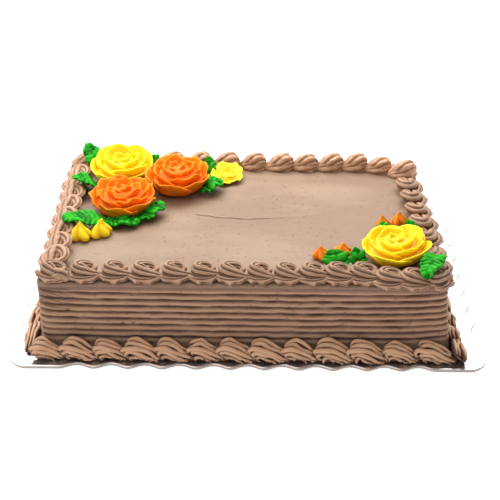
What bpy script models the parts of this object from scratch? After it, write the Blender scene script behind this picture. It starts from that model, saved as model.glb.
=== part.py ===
"""An iced sheet cake with piped borders, roses and leaves, built together with its foil board.

Metres, +Z up. The origin is the middle of the board's underside, +X runs along the long side and
the front faces -Y. Every piece is a closed solid, 0.3 mm clear of the pieces it touches.
"""
import math
import random

import bmesh
import bpy
import numpy as np

# Board
BOARD_LENGTH = 0.3556
BOARD_DEPTH = 0.2540
BOARD_THICKNESS = 0.0032
BOARD_CORNER = 0.013
SCALLOP_PITCH = 0.0254
SCALLOP_DEPTH = 0.0045
LONG_SIDE_SCALLOPS = 11
SHORT_SIDE_SCALLOPS = 7

# Cake
GAP = 0.0003
CAKE_LENGTH = 0.301
CAKE_DEPTH = 0.202
CAKE_TOP = 0.0627
CAKE_MIDDLE = (-0.005, -0.0062)
CAKE_CORNER = 0.007
TOP_ROUNDING = 0.0024
RIGHT_FLARE = 0.0065
RIGHT_SKEW = 0.0025
GROOVE_COUNT = 8
GROOVE_PITCH = 0.0055
FIRST_GROOVE = 0.0539
GROOVE_WIDTH = 0.0021
GROOVE_DEPTH = 0.0014
GROOVE_END_RISE = 0.003

# Piped borders
TOP_SWIRL_HEIGHT = 0.0125
TOP_SWIRL_RADIUS = 0.0118
TOP_LINE_INSET = 0.0105
BASE_SHELL_LENGTH = 0.024
BASE_SHELL_HEIGHT = 0.0120
BASE_SHELL_REACH = 0.0137
TOP_LINE_LEFT = -0.1385
TOP_LINE_RIGHT_FRONT = 0.1445
TOP_LINE_RIGHT_BACK = 0.1385
SIDE_SHIFT = 0.0006
BACK_SHIFT = 0.0015
FRONT_RUN_LIMIT = CAKE_MIDDLE[1] - 0.0795
BACK_RUN_LIMIT = 0.0595
BACK_LEFT_LIMIT = 0.0715
CORNER_TURN = 0.95
SIDE_WIDENING = 1.15
BACK_TWIST = 1.6
SIDE_SHELL_SCALE = 0.94
RIGHT_RUN_INSET = 0.0030
PRESSED = 0.43
RIDGE_DEPTH = 0.24
VISIBLE_RIDGES = 4

# Flowers and leaves
ROSE_RADIUS = 0.0268
ROSE_HEIGHT = 0.0195
PETAL_THICKNESS = 0.0018
LEAF_THICKNESS = 0.0020

# Roses: name, place, share of the usual radius and height, lean, ripple of the rims, seed
ROSES = [
    ("rose_yellow_back", (-0.1090, 0.0584), 0.925, 1.08, (0.0, 0.36), 0.02, 31),
    ("rose_orange_left", (-0.1032, 0.0073), 0.97, 1.12, (0.0, 0.04), 0.05, 32),
    ("rose_orange_right", (-0.0600, 0.0440), 0.97, 1.22, (0.0, 0.06), 0.05, 33),
    ("rose_yellow_front", (0.1103, -0.0655), 0.955, 1.02, (0.17, 0.0), 0.03, 36),
]

FRONT = -math.pi / 2

# Facets
SWIRL_TRIANGLES = 86
SHELL_TRIANGLES = 54
ROSE_TRIANGLES = 560
BLOSSOM_TRIANGLES = 150
POINTS_PER_SCALLOP = 4
CORNER_STEPS = 4
CORE_SIDES = 10
PETAL_CELLS = (4, 2)
LEAF_CELLS = (5, 2)
BUD_SIDES = 9

MERGE_DISTANCE = 5e-6

SHARP_ANGLE = math.radians(55)

CAKE_BOTTOM = BOARD_THICKNESS + GAP
TOPPING_FLOOR = CAKE_TOP + GAP
HALF_LENGTH = CAKE_LENGTH / 2
HALF_DEPTH = CAKE_DEPTH / 2


def clear_scene():
    for leftover in list(bpy.data.objects):
        bpy.data.objects.remove(leftover, do_unlink=True)


def make_material(name, colour, roughness, metallic=0.0):
    material = bpy.data.materials.new(name)
    material.use_nodes = True
    shader = material.node_tree.nodes["Principled BSDF"]
    shader.inputs["Base Color"].default_value = (*colour, 1.0)
    shader.inputs["Roughness"].default_value = roughness
    shader.inputs["Metallic"].default_value = metallic
    material.diffuse_color = (*colour, 1.0)
    return material


def add_object(name, points, faces, material=None):
    """A closed body from points and faces, with its faces turned outward."""
    mesh = bpy.data.meshes.new(name)
    mesh.from_pydata([tuple(map(float, point)) for point in points], [], faces)
    shell = bmesh.new()
    shell.from_mesh(mesh)
    bmesh.ops.recalc_face_normals(shell, faces=shell.faces)
    bmesh.ops.triangulate(shell, faces=shell.faces)
    shell.to_mesh(mesh)
    shell.free()
    body = bpy.data.objects.new(name, mesh)
    bpy.context.scene.collection.objects.link(body)
    if material:
        mesh.materials.append(material)
    return body


def loft(rings, tips=(None, None)):
    """Skin over rings of equal size; each end closes flat, or runs to a tip point."""
    count = len(rings[0])
    points = [point for ring in rings for point in ring]
    faces = []
    for level in range(len(rings) - 1):
        for index in range(count):
            after = (index + 1) % count
            low, high = level * count, (level + 1) * count
            faces.append((low + index, low + after, high + after, high + index))
    for end, start in ((0, 0), (1, (len(rings) - 1) * count)):
        if tips[end] is None:
            faces.append(tuple(start + index for index in range(count)))
            continue
        points.append(tips[end])
        tip = len(points) - 1
        for index in range(count):
            faces.append((start + index, start + (index + 1) % count, tip))
    return points, faces


def box(name, low, high):
    """A cutter that spans two opposite corners."""
    ring = [(low[0], low[1]), (high[0], low[1]), (high[0], high[1]), (low[0], high[1])]
    rings = [[(x, y, z) for x, y in ring] for z in (low[2], high[2])]
    cutter = add_object(name, *loft(rings))
    cutter.hide_render = True
    cutter.display_type = "WIRE"
    return cutter


def replace_mesh(body, mesh):
    old = body.data
    body.modifiers.clear()
    body.data = mesh
    bpy.data.meshes.remove(old)


def shade_round(body):
    """Smooth shading, with the sharp folds kept."""
    body.data.shade_smooth()
    body.data.set_sharp_from_angle(angle=SHARP_ANGLE)


def evaluated_mesh(body):
    graph = bpy.context.evaluated_depsgraph_get()
    graph.update()
    return bpy.data.meshes.new_from_object(body.evaluated_get(graph))


def is_closed(shell):
    return bool(shell.faces) and all(len(edge.link_faces) == 2 for edge in shell.edges)


def merged_shell(mesh, distance):
    """The mesh in triangles, with points closer than the distance joined."""
    shell = bmesh.new()
    shell.from_mesh(mesh)
    if distance:
        bmesh.ops.remove_doubles(shell, verts=shell.verts, dist=distance)
        bmesh.ops.dissolve_degenerate(shell, edges=shell.edges, dist=distance / 5)
    bmesh.ops.triangulate(shell, faces=shell.faces)
    return shell


def keep_outer_skin(body):
    """Drop sealed hollows and loose scraps: only the skin with the most volume stays."""
    shell = merged_shell(body.data, MERGE_DISTANCE)
    if not is_closed(shell):
        shell.free()
        shell = merged_shell(body.data, 0.0)
    unseen = set(shell.faces)
    parts = []
    while unseen:
        front = [unseen.pop()]
        part = list(front)
        while front:
            face = front.pop()
            for edge in face.edges:
                for other in edge.link_faces:
                    if other in unseen:
                        unseen.remove(other)
                        front.append(other)
                        part.append(other)
        parts.append(part)

    def volume(part):
        total = 0.0
        for face in part:
            a, b, c = (vertex.co for vertex in face.verts)
            total += a.dot(b.cross(c)) / 6
        return total

    parts.sort(key=volume, reverse=True)
    scraps = [face for part in parts[1:] for face in part]
    bmesh.ops.delete(shell, geom=scraps, context="FACES")
    shell.to_mesh(body.data)
    shell.free()


def simplify(body, target):
    """Collapse short edges until about the target number of triangles is left."""
    count = len(body.data.polygons)
    if count <= target:
        return
    collapse = body.modifiers.new("collapse", "DECIMATE")
    collapse.ratio = target / count
    replace_mesh(body, evaluated_mesh(body))


def cut_away(body, cutter):
    """Cut by the exact solver, or by the manifold one where the exact one leaves it open or empty."""
    for solver in ("EXACT", "MANIFOLD"):
        cut = body.modifiers.new("cut", "BOOLEAN")
        cut.operation = "DIFFERENCE"
        cut.object = cutter
        cut.solver = solver
        mesh = evaluated_mesh(body)
        shell = merged_shell(mesh, 0.0)
        whole = is_closed(shell)
        shell.free()
        if whole or solver == "MANIFOLD":
            replace_mesh(body, mesh)
            break
        body.modifiers.clear()
        bpy.data.meshes.remove(mesh)
    bpy.data.objects.remove(cutter, do_unlink=True)


def fuse(name, pieces, material, target, cutters):
    """One skin round overlapping pieces, less what the cutters cover."""
    body, others = pieces[0], pieces[1:]
    body.name = name
    body.data.name = name
    group = bpy.data.collections.new(name + "_pieces")
    bpy.context.scene.collection.children.link(group)
    for other in others:
        bpy.context.scene.collection.objects.unlink(other)
        group.objects.link(other)
    union = body.modifiers.new("union", "BOOLEAN")
    union.operation = "UNION"
    union.operand_type = "COLLECTION"
    union.collection = group
    union.solver = "EXACT"
    union.use_self = True
    replace_mesh(body, evaluated_mesh(body))
    for other in others:
        bpy.data.objects.remove(other, do_unlink=True)
    bpy.data.collections.remove(group)
    keep_outer_skin(body)
    simplify(body, target)
    for cutter in cutters:
        cut_away(body, cutter)
    if cutters:
        keep_outer_skin(body)
    body.data.materials.clear()
    body.data.materials.append(material)
    shade_round(body)
    return body


def unit(vectors):
    return vectors / np.linalg.norm(vectors, axis=-1, keepdims=True)


def ease(low, high, value):
    """0 below low, 1 above high, and a smooth step between."""
    t = np.clip((value - low) / (high - low), 0.0, 1.0)
    return t * t * (3 - 2 * t)


# Board

def scallop(along, count):
    """How far the edge is drawn in at a place along its side."""
    reach = count * SCALLOP_PITCH / 2
    if abs(along) > reach:
        return 0.0
    return SCALLOP_DEPTH * (0.5 + 0.5 * math.cos(2 * math.pi * along / SCALLOP_PITCH))


def board_side(half_run, half_across, count):
    """One side's points from left to right, seen from outside it."""
    corner_start = half_run - BOARD_CORNER
    reach = count * SCALLOP_PITCH / 2
    side = [(-corner_start, -half_across)]
    for along in np.linspace(-reach, reach, count * POINTS_PER_SCALLOP + 1):
        side.append((along, -half_across + scallop(along, count)))
    side.append((corner_start, -half_across))
    return side


def turn(point, quarter):
    for _ in range(quarter):
        point = (-point[1], point[0])
    return point


def board_outline():
    half_length, half_depth = BOARD_LENGTH / 2, BOARD_DEPTH / 2
    sizes = [
        (half_length, half_depth, LONG_SIDE_SCALLOPS),
        (half_depth, half_length, SHORT_SIDE_SCALLOPS),
    ]
    outline = []
    for quarter in range(4):
        run, across, count = sizes[quarter % 2]
        outline += [turn(point, quarter) for point in board_side(run, across, count)]
        for step in range(1, CORNER_STEPS):
            angle = math.pi / 2 * step / CORNER_STEPS
            corner = (
                run - BOARD_CORNER + BOARD_CORNER * math.sin(angle),
                -across + BOARD_CORNER - BOARD_CORNER * math.cos(angle),
            )
            outline.append(turn(corner, quarter))
    return outline


def make_board(material):
    rings = [[(x, y, z) for x, y in board_outline()] for z in (0.0, BOARD_THICKNESS)]
    return add_object("board", *loft(rings), material)


# Cake

def cake_point(x, y, z):
    """Place a point of the plain block, with the lean and skew of the right-hand side."""
    side = max(x, 0.0) / HALF_LENGTH
    lean = RIGHT_FLARE * (1 - z / CAKE_TOP) + RIGHT_SKEW * (-y / HALF_DEPTH) - RIGHT_SKEW / 2
    return (x + lean * side ** 2 + CAKE_MIDDLE[0], y + CAKE_MIDDLE[1], z)


def cake_ring(z, inset, rise):
    """A rounded rectangle, with the comb lines rising toward the corners."""
    run, across = HALF_LENGTH - inset, HALF_DEPTH - inset
    radius = max(CAKE_CORNER - inset, 0.002)
    ring = []
    for quarter in range(4):
        long_way, short_way = (run, across) if quarter % 2 == 0 else (across, run)
        for fraction in (-0.82, 0.0, 0.82):
            ring.append(turn((fraction * long_way, -short_way), quarter))
        for step in range(3):
            angle = math.pi / 4 * step
            ring.append(turn((
                long_way - radius + radius * math.sin(angle),
                -short_way + radius - radius * math.cos(angle),
            ), quarter))
    points = []
    for x, y in ring:
        lift = rise * (abs(x) / run) ** 8
        points.append(cake_point(x, y, z + lift))
    return points


def make_cake(material):
    rings = [cake_ring(CAKE_BOTTOM, 0.0, 0.0)]
    for number in reversed(range(GROOVE_COUNT)):
        middle = FIRST_GROOVE - number * GROOVE_PITCH
        for offset, inset in ((-0.5, 0.0), (0.0, GROOVE_DEPTH), (0.5, 0.0)):
            rings.append(cake_ring(middle + offset * GROOVE_WIDTH, inset, GROOVE_END_RISE))
    for depth, inset in ((1.0, 0.0), (0.28, 0.28), (0.0, 1.0)):
        rings.append(cake_ring(CAKE_TOP - depth * TOP_ROUNDING, inset * TOP_ROUNDING, 0.0))
    return add_object("cake", *loft(rings), material)


# Piping

def ridge_angles():
    """Section angles from the outer foot over the top: a ridge and a groove by turns, then plain."""
    ridged = np.radians(np.linspace(-66, 138, 2 * VISIBLE_RIDGES + 1))
    plain = np.radians([190.0, 245.0])
    ridge = np.array([0.0 if index % 2 == 0 else 1.0 for index in range(len(ridged))])
    return np.concatenate([ridged, plain]), np.concatenate([ridge, [0.4, 0.4]])


def piped_tube(path, radii, inner=None, twist=0.0):
    """A ridged rope of icing along a path, pinched to a point at both ends.

    Inner holds how much of its radius the rope keeps on its left-hand side. Twist is how far
    the ridges wind round the rope from its start to its end.
    """
    path, radii = np.asarray(path, float), np.asarray(radii, float)
    inner = np.ones(len(radii)) if inner is None else inner
    along = unit(np.gradient(path, axis=0))
    side = unit(np.cross(along, (0.0, 0.0, 1.0)))
    upward = np.cross(side, along)
    plain_angles, ridge = ridge_angles()
    reach = 1 - RIDGE_DEPTH * (1 - ridge)
    winding = twist * np.linspace(-0.5, 0.5, len(radii))
    rings = []
    for place, across, up, radius, kept, wound in zip(path, side, upward, radii, inner, winding):
        angles = plain_angles + wound
        sideways, height = reach * np.cos(angles), reach * np.sin(angles)
        sideways = np.where(sideways < 0, sideways * kept, sideways)
        ring = place + radius * (np.outer(sideways, across) + np.outer(height, up))
        rings.append([tuple(point) for point in ring])
    tips = (
        tuple(path[0] - along[0] * radii[0] * 0.5),
        tuple(path[-1] + along[-1] * radii[-1] * 0.8),
    )
    return loft(rings, tips)


def top_swirl(size):
    """A coil of icing: it starts at an eye, winds round to the outer side and trails forward."""
    turn_angles = np.radians([-60, 5, 60, 110, 160, 210, 265])
    share = np.linspace(0, 1, len(turn_angles))
    reach = size * (0.24 + 0.27 * ease(0.0, 0.7, share))
    x = 0.06 * size + reach * np.cos(turn_angles)
    y = 0.04 * size + reach * np.sin(turn_angles)
    z = TOP_SWIRL_HEIGHT * (0.50 + 0.10 * np.sin(share * math.pi) - 0.10 * share)
    radii = size * (0.22 + 0.35 * ease(0.0, 0.65, share))
    inner = np.minimum(1.0, 0.80 * reach / radii)
    x = np.append(x, [0.62 * size, 1.16 * size])
    y = np.append(y, [-0.44 * size, -0.26 * size])
    z = np.append(z, [0.28 * TOP_SWIRL_HEIGHT, 0.16 * TOP_SWIRL_HEIGHT])
    radii = np.append(radii, [0.40 * size, 0.16 * size])
    return np.stack([x, y, z], axis=1), radii, np.append(inner, [0.9, 1.0])


def back_swirl(size):
    """A leaning shell: it rises from a thin tail to a round head, its ridges wound up over it."""
    x = size * np.array([1.05, 0.62, 0.18, -0.25, -0.60, -0.86])
    y = size * np.array([0.02, 0.04, 0.06, 0.06, 0.04, 0.02])
    z = TOP_SWIRL_HEIGHT * np.array([0.22, 0.40, 0.56, 0.62, 0.52, 0.34])
    radii = size * np.array([0.12, 0.30, 0.50, 0.62, 0.50, 0.24])
    return np.stack([x, y, z], axis=1), radii, None


def base_shell(size):
    """A slanted shell: it curls up from the outer foot to the wall and trails out and forward."""
    length, reach, height = BASE_SHELL_LENGTH * size, BASE_SHELL_REACH * size, BASE_SHELL_HEIGHT * size
    x = length * np.array([-0.34, -0.47, -0.30, 0.02, 0.36, 0.70])
    y = reach * np.array([-0.80, -0.60, -0.30, -0.26, -0.48, -0.74])
    z = height * np.array([0.26, 0.44, 0.62, 0.58, 0.36, 0.18])
    radii = height * np.array([0.22, 0.36, 0.46, 0.48, 0.34, 0.16])
    return np.stack([x, y, z], axis=1), radii


def place_path(path, origin, heading, tilt=0.0):
    """Turn a path about Z to its heading and move it to its place on the run."""
    cosine, sine = math.cos(heading + tilt), math.sin(heading + tilt)
    turned = path.copy()
    turned[:, 0] = path[:, 0] * cosine - path[:, 1] * sine
    turned[:, 1] = path[:, 0] * sine + path[:, 1] * cosine
    return turned + np.array(origin)


def run_places(start, end, count, crowding):
    """Places along a run, closer together toward its end, as a hand pipes them."""
    places = []
    for index in range(count):
        share = index / (count - 1)
        share = share * (1 + crowding) - crowding * share * share
        places.append(np.array(start) * (1 - share) + np.array(end) * share)
    return places


def rope(name, places, width, height):
    """The low bead under a run that ties its swirls together."""
    places = np.array(places)
    along = unit(np.gradient(places[:, :2], axis=0))
    rings = []
    for place, (run_x, run_y) in zip(places, along):
        ring = []
        for sideways, upward in ((-1, -0.5), (1, -0.5), (0.6, 1), (-0.6, 1)):
            offset = sideways * width / 2
            x, y = place[0] - run_y * offset, place[1] + run_x * offset
            ring.append((x, y, place[2] + upward * height))
        rings.append(ring)
    return add_object(name, *loft(rings))


def end_cutters(low, high):
    """Walls across Y that keep a side run clear of the runs in front and behind."""
    return [box("front_end", (-1, -1, -0.01), (1, low, 1)), box("back_end", (-1, high, -0.01), (1, 1, 1))]


def pressed_height(x, y):
    """How tall a swirl stands: less where a rose leans on it."""
    factor = 1.0
    for _, place, wide, *_ in ROSES:
        away = math.hypot(x - place[0], y - place[1]) / (ROSE_RADIUS * wide)
        factor = min(factor, PRESSED + (1 - PRESSED) * float(ease(1.16, 1.66, away)))
    return factor


def make_top_run(
        name, start, end, count, crowding, heading, corner_turn, bend, seed, material, cutters,
        form=top_swirl, widen=1.0, twist=0.0):
    """One side of the top border: swirls along a line on the cake's edge, widened across X."""
    draw = random.Random(seed)
    pieces = []
    origins = [cake_point(*bend(*place), CAKE_TOP) for place in run_places(start, end, count, crowding)]
    for number, origin in enumerate(origins):
        pressed = pressed_height(origin[0], origin[1])
        size = TOP_SWIRL_RADIUS * draw.uniform(0.94, 1.06) * (0.7 + 0.3 * pressed)
        path, radii, inner = form(size)
        path[:, 2] *= draw.uniform(0.95, 1.05)
        tilt = draw.uniform(-0.16, 0.16) + (corner_turn if number == count - 1 else 0.0)
        path = place_path(path, origin, heading, tilt)
        points, faces = piped_tube(path, radii, inner, twist)
        points = [
            (origin[0] + (x - origin[0]) * widen, y, CAKE_TOP + (z - CAKE_TOP) * pressed)
            for x, y, z in points]
        pieces.append(add_object("%s_%d" % (name, number), points, faces))
    pieces.append(rope(name + "_rope", origins, 0.8 * TOP_SWIRL_RADIUS, 0.35 * TOP_SWIRL_HEIGHT))
    under = box("under", (-1, -1, 0.0), (1, 1, TOPPING_FLOOR))
    return fuse(name, pieces, material, count * SWIRL_TRIANGLES, [under, *cutters])


def straight(x, y):
    return x, y


def front_bend(x, y):
    """The front run steps out over the edge to pass the rose near the right-hand corner."""
    return x, y - 0.0065 * float(ease(0.096, 0.112, x))


def back_bend(x, y):
    """The back run comes forward where it rounds the right-hand corner."""
    past = max(0.0, (x - 0.095) / 0.045)
    return x, y - 0.0125 * past * past


def make_top_border(material):
    line = HALF_DEPTH - TOP_LINE_INSET
    behind_front = box("inner", (-1, FRONT_RUN_LIMIT - GAP / 2, 0), (1, 1, 1))
    make_top_run(
        "top_border_front", (TOP_LINE_LEFT, -line), (TOP_LINE_RIGHT_FRONT - 0.002, -line),
        15, 0.16, 0.0, CORNER_TURN, front_bend, 11, material, [behind_front])
    before_back = box("inner", (-1, -1, 0), (1, BACK_RUN_LIMIT, 1))
    make_top_run(
        "top_border_back",
        (TOP_LINE_RIGHT_BACK, line - BACK_SHIFT), (TOP_LINE_LEFT + 0.0025, line),
        13, -0.10, math.pi, 0.0, back_bend, 12, material, [before_back],
        form=back_swirl, twist=BACK_TWIST)
    make_top_run(
        "top_border_left", (TOP_LINE_LEFT - SIDE_SHIFT, 0.070), (TOP_LINE_LEFT - SIDE_SHIFT, -0.071),
        8, 0.0, -math.pi / 2, 0.0, straight, 13, material,
        end_cutters(FRONT_RUN_LIMIT + GAP / 2, BACK_LEFT_LIMIT), widen=SIDE_WIDENING)
    make_top_run(
        "top_border_right",
        (TOP_LINE_RIGHT_FRONT + SIDE_SHIFT, -0.077), (TOP_LINE_RIGHT_BACK + SIDE_SHIFT, 0.050),
        7, 0.0, math.pi / 2, 0.0, straight, 14, material,
        end_cutters(FRONT_RUN_LIMIT + GAP / 2, BACK_RUN_LIMIT - GAP), widen=SIDE_WIDENING)


def cake_envelope():
    """A block a gap wider than the cake all round, which trims the base border clear of it."""
    rings = [cake_ring(z, -GAP, 0.0) for z in (-0.01, 0.05)]
    envelope = add_object("envelope", *loft(rings))
    envelope.hide_render = True
    envelope.display_type = "WIRE"
    return envelope


def make_base_run(name, start, end, count, heading, corner_turn, seed, material, cutters, scale=1.0):
    """One side of the base border: slanted shells along the cake's foot."""
    draw = random.Random(seed)
    pieces = []
    outward = np.array([math.sin(heading), -math.cos(heading), 0.0])
    origins = [cake_point(*place, 0.0) for place in run_places(start, end, count, 0.0)]
    for number, origin in enumerate(origins):
        origin = np.array(origin) + (0.0, 0.0, BOARD_THICKNESS)
        path, radii = base_shell(scale * draw.uniform(0.93, 1.07))
        tilt = draw.uniform(-0.07, 0.07) + (corner_turn if number == count - 1 else 0.0)
        path = place_path(path, origin, heading, tilt)
        pieces.append(add_object("%s_%d" % (name, number), *piped_tube(path, radii)))
    spine = [np.array(origin) + outward * 0.0035 + (0.0, 0.0, BOARD_THICKNESS) for origin in origins]
    pieces.append(rope(name + "_rope", spine, 0.007, 0.35 * BASE_SHELL_HEIGHT))
    under = box("under", (-1, -1, -1), (1, 1, BOARD_THICKNESS + GAP))
    return fuse(name, pieces, material, count * SHELL_TRIANGLES, [under, cake_envelope(), *cutters])


def make_base_border(material):
    front, back = CAKE_MIDDLE[1] - HALF_DEPTH, CAKE_MIDDLE[1] + HALF_DEPTH
    run, across = HALF_LENGTH, HALF_DEPTH
    make_base_run(
        "base_border_front", (-run + 0.0045, -across), (run - 0.0140, -across),
        13, 0.0, 0.0, 21, material, [box("inner", (-1, front - GAP, -1), (1, 1, 1))])
    make_base_run(
        "base_border_back", (run - 0.003, across), (-run + 0.009, across),
        13, math.pi, 0.5 * CORNER_TURN, 22, material, [box("inner", (-1, -1, -1), (1, back + GAP, 1))])
    make_base_run(
        "base_border_left", (-run, across - 0.010), (-run, -across + 0.012),
        9, -math.pi / 2, 0.0, 23, material, end_cutters(front, back), SIDE_SHELL_SCALE)
    make_base_run(
        "base_border_right",
        (run - RIGHT_RUN_INSET, -across - 0.003), (run - RIGHT_RUN_INSET, across - 0.012),
        10, math.pi / 2, 0.0, 24, material, end_cutters(front, back), SIDE_SHELL_SCALE)


# Flowers

def petal_grid(facing, span, foot, rim, tuck, droop, ripple, phase, cells):
    """Points of a petal's upper face: across it from side to side, and from foot to rim."""
    across = np.linspace(-1, 1, cells[0] + 1)[:, None]
    up = np.linspace(0, 1, cells[1] + 1)[None, :]
    reach = up * (1 - 0.40 * np.abs(across) ** 2.4)
    angle = facing + across * span / 2 + 0 * up
    radius = foot[0] + (rim[0] - foot[0]) * reach ** 0.75 + tuck * across * (0.3 + 0.7 * reach)
    height = foot[1] + (rim[1] - foot[1]) * reach ** 1.25 - droop * reach ** 6
    height = height + ripple * reach ** 4 * np.sin(2.5 * math.pi * across + phase)
    return np.stack([radius * np.cos(angle), radius * np.sin(angle), height], axis=-1)


def sheet_solid(grid, thickness):
    """A closed sheet under a grid of points, both faces split into triangles alike."""
    rows, columns = grid.shape[:2]
    normal = unit(np.cross(np.gradient(grid, axis=0), np.gradient(grid, axis=1)))
    normal = normal * np.sign(normal[..., 2:3] + 1e-9)
    back = grid - normal * thickness
    points = [tuple(point) for face in (grid, back) for point in face.reshape(-1, 3)]
    half = rows * columns
    faces = []
    for row in range(rows - 1):
        for column in range(columns - 1):
            a = row * columns + column
            b, c, d = a + columns, a + columns + 1, a + 1
            for shift in (0, half):
                faces += [(a + shift, b + shift, c + shift), (a + shift, c + shift, d + shift)]
    rim = [row * columns for row in range(rows)]
    rim += [(rows - 1) * columns + column for column in range(1, columns)]
    rim += [row * columns + columns - 1 for row in reversed(range(rows - 1))]
    rim += list(reversed(range(1, columns - 1)))
    for index, start in enumerate(rim):
        after = rim[(index + 1) % len(rim)]
        faces.append((start, after, after + half, start + half))
    return points, faces


def flower_core(name, profile, sides):
    """The turned cone of icing that the petals grow from, standing on the cake."""
    rings = []
    for radius, height in profile:
        ring = []
        for index in range(sides):
            angle = 2 * math.pi * index / sides
            ring.append((radius * math.cos(angle), radius * math.sin(angle), height))
        rings.append(ring)
    return add_object(name, *loft(rings))


def make_flower(name, place, radius, height, lean, layers, core, seed, material, target, ripple):
    """Layers of petals fused to a core. Layer and core sizes are shares of radius and height.

    Lean is how much the petals rise for each metre toward +X and +Y, on their raised side.
    """
    draw = random.Random(seed)
    profile = [(radius * share, height * level) for share, level in core]
    pieces = [flower_core(name + "_core", profile, CORE_SIDES)]
    for number, (count, span, foot, rim, droop) in enumerate(layers):
        for index in range(count):
            facing = FRONT + math.pi * (2 * index + 1) / count + 0.25 * (-1) ** number
            facing = facing + draw.uniform(-0.14, 0.14)
            stretch = draw.uniform(0.94, 1.03)
            grid = petal_grid(
                facing, math.radians(span) * draw.uniform(0.95, 1.1),
                (foot[0] * radius, foot[1] * height),
                (rim[0] * radius * stretch, rim[1] * height * draw.uniform(0.95, 1.04)),
                0.09 * radius, droop * height, ripple * height, draw.uniform(0, 6.28), PETAL_CELLS)
            rise = grid[..., 0] * lean[0] + grid[..., 1] * lean[1]
            grid[..., 2] += np.where(rise < 0, 0.3 * rise, rise)
            thickness = min(PETAL_THICKNESS, 0.14 * radius)
            petal = add_object("%s_petal_%d_%d" % (name, number, index), *sheet_solid(grid, thickness))
            pieces.append(petal)
    under = box("under", (-1, -1, -1), (1, 1, 0.0))
    body = fuse(name, pieces, material, target, [under])
    body.location = (place[0], place[1], TOPPING_FLOOR)
    return body


ROSE_LAYERS = [
    (5, 106, (0.50, 0.06), (1.00, 0.70), 0.02),
    (4, 126, (0.38, 0.24), (0.80, 0.90), 0.02),
    (3, 146, (0.24, 0.42), (0.52, 1.00), 0.00),
]
ROSE_CORE = [
    (0.56, 0.0), (0.78, 0.18), (0.80, 0.40), (0.64, 0.54), (0.58, 0.66), (0.36, 0.74), (0.24, 0.88), (0.08, 0.92)]
BLOSSOM_LAYERS = [
    (5, 80, (0.26, 0.16), (1.00, 0.66), 0.04),
    (3, 130, (0.12, 0.36), (0.46, 0.80), 0.02),
]
BLOSSOM_CORE = [(0.52, 0.0), (0.56, 0.26), (0.36, 0.50), (0.10, 0.72)]
BUD_PROFILE = [(0.72, 0.0), (1.02, 0.10), (1.04, 0.30), (0.74, 0.52), (0.32, 0.76)]


def make_bud(name, place, radius, height, lobes, seed, material):
    """A squeezed drop of icing: a lobed, twisted mound that is drawn out to a leaning point."""
    draw = random.Random(seed)
    phase, lean = draw.uniform(0, 6.28), draw.uniform(0.7, 2.4)
    rings = []
    for share, level in BUD_PROFILE:
        shift = 0.30 * radius * level * level
        ring = []
        for index in range(BUD_SIDES):
            angle = 2 * math.pi * index / BUD_SIDES
            reach = radius * share * (1 + 0.16 * math.cos(lobes * angle + phase + 1.4 * level))
            x = place[0] + shift * math.cos(lean) + reach * math.cos(angle)
            y = place[1] + shift * math.sin(lean) + reach * math.sin(angle)
            ring.append((x, y, TOPPING_FLOOR + height * level))
        rings.append(ring)
    point = (
        place[0] + 0.30 * radius * math.cos(lean),
        place[1] + 0.30 * radius * math.sin(lean),
        TOPPING_FLOOR + height,
    )
    shade_round(add_object(name, *loft(rings, (None, point)), material))


def make_flowers(yellow, orange):
    colours = {"yellow": yellow, "orange": orange}
    for name, place, wide, tall, lean, ripple, seed in ROSES:
        make_flower(
            name, place, ROSE_RADIUS * wide, ROSE_HEIGHT * tall, lean,
            ROSE_LAYERS, ROSE_CORE, seed, colours[name.split("_")[1]], ROSE_TRIANGLES, ripple)
    make_flower(
        "blossom_yellow", (-0.0192, 0.0609), 0.0122, 0.0126, (0.0, 0.0),
        BLOSSOM_LAYERS, BLOSSOM_CORE, 41, yellow, BLOSSOM_TRIANGLES, 0.0)
    buds = [
        ("bud_yellow_left", (-0.1277, -0.0414), 0.0066, 0.0150, yellow),
        ("bud_yellow_right", (-0.1146, -0.0356), 0.0068, 0.0140, yellow),
        ("bud_orange_front_left", (0.0545, -0.0660), 0.0056, 0.0105, orange),
        ("bud_orange_front_right", (0.0710, -0.0600), 0.0060, 0.0090, orange),
        ("bud_orange_back_left", (0.1060, -0.0195), 0.0054, 0.0110, orange),
        ("bud_orange_back_right", (0.1190, -0.0145), 0.0056, 0.0115, orange),
        ("bud_orange_small", (0.0813, -0.0825), 0.0026, 0.0070, orange),
    ]
    for number, (name, place, radius, height, material) in enumerate(buds):
        make_bud(name, place, radius, height, 3, 51 + number, material)


# Leaves

def leaf_grid(root, tip, width, arch, ruffle, phase, cells):
    """Points of a leaf's upper face, from root to tip, with a sunk middle and wavy sides."""
    root, tip = np.array(root), np.array(tip)
    along = np.linspace(0, 1, cells[0] + 1)[:, None]
    across = np.linspace(-1, 1, cells[1] + 1)[None, :]
    run = unit(tip[:2] - root[:2])
    half = width / 2 * np.sqrt(np.clip(1 - along ** 2.2, 0.01, 1)) * (0.62 + 0.38 * ease(0, 0.35, along))
    side = half * across * (1 + 0.12 * np.sin(5 * math.pi * along + phase))
    x = root[0] + (tip[0] - root[0]) * along - run[1] * side
    y = root[1] + (tip[1] - root[1]) * along + run[0] * side
    z = root[2] + (tip[2] - root[2]) * along + arch * np.sin(math.pi * along)
    z = z + ruffle * np.abs(across) * np.sin(6 * math.pi * along + phase + 0.9 * across)
    z = z + 0.10 * width * (np.abs(across) - 0.5) * (1 - along)
    return np.stack([x, y, z + CAKE_TOP], axis=-1)


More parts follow.
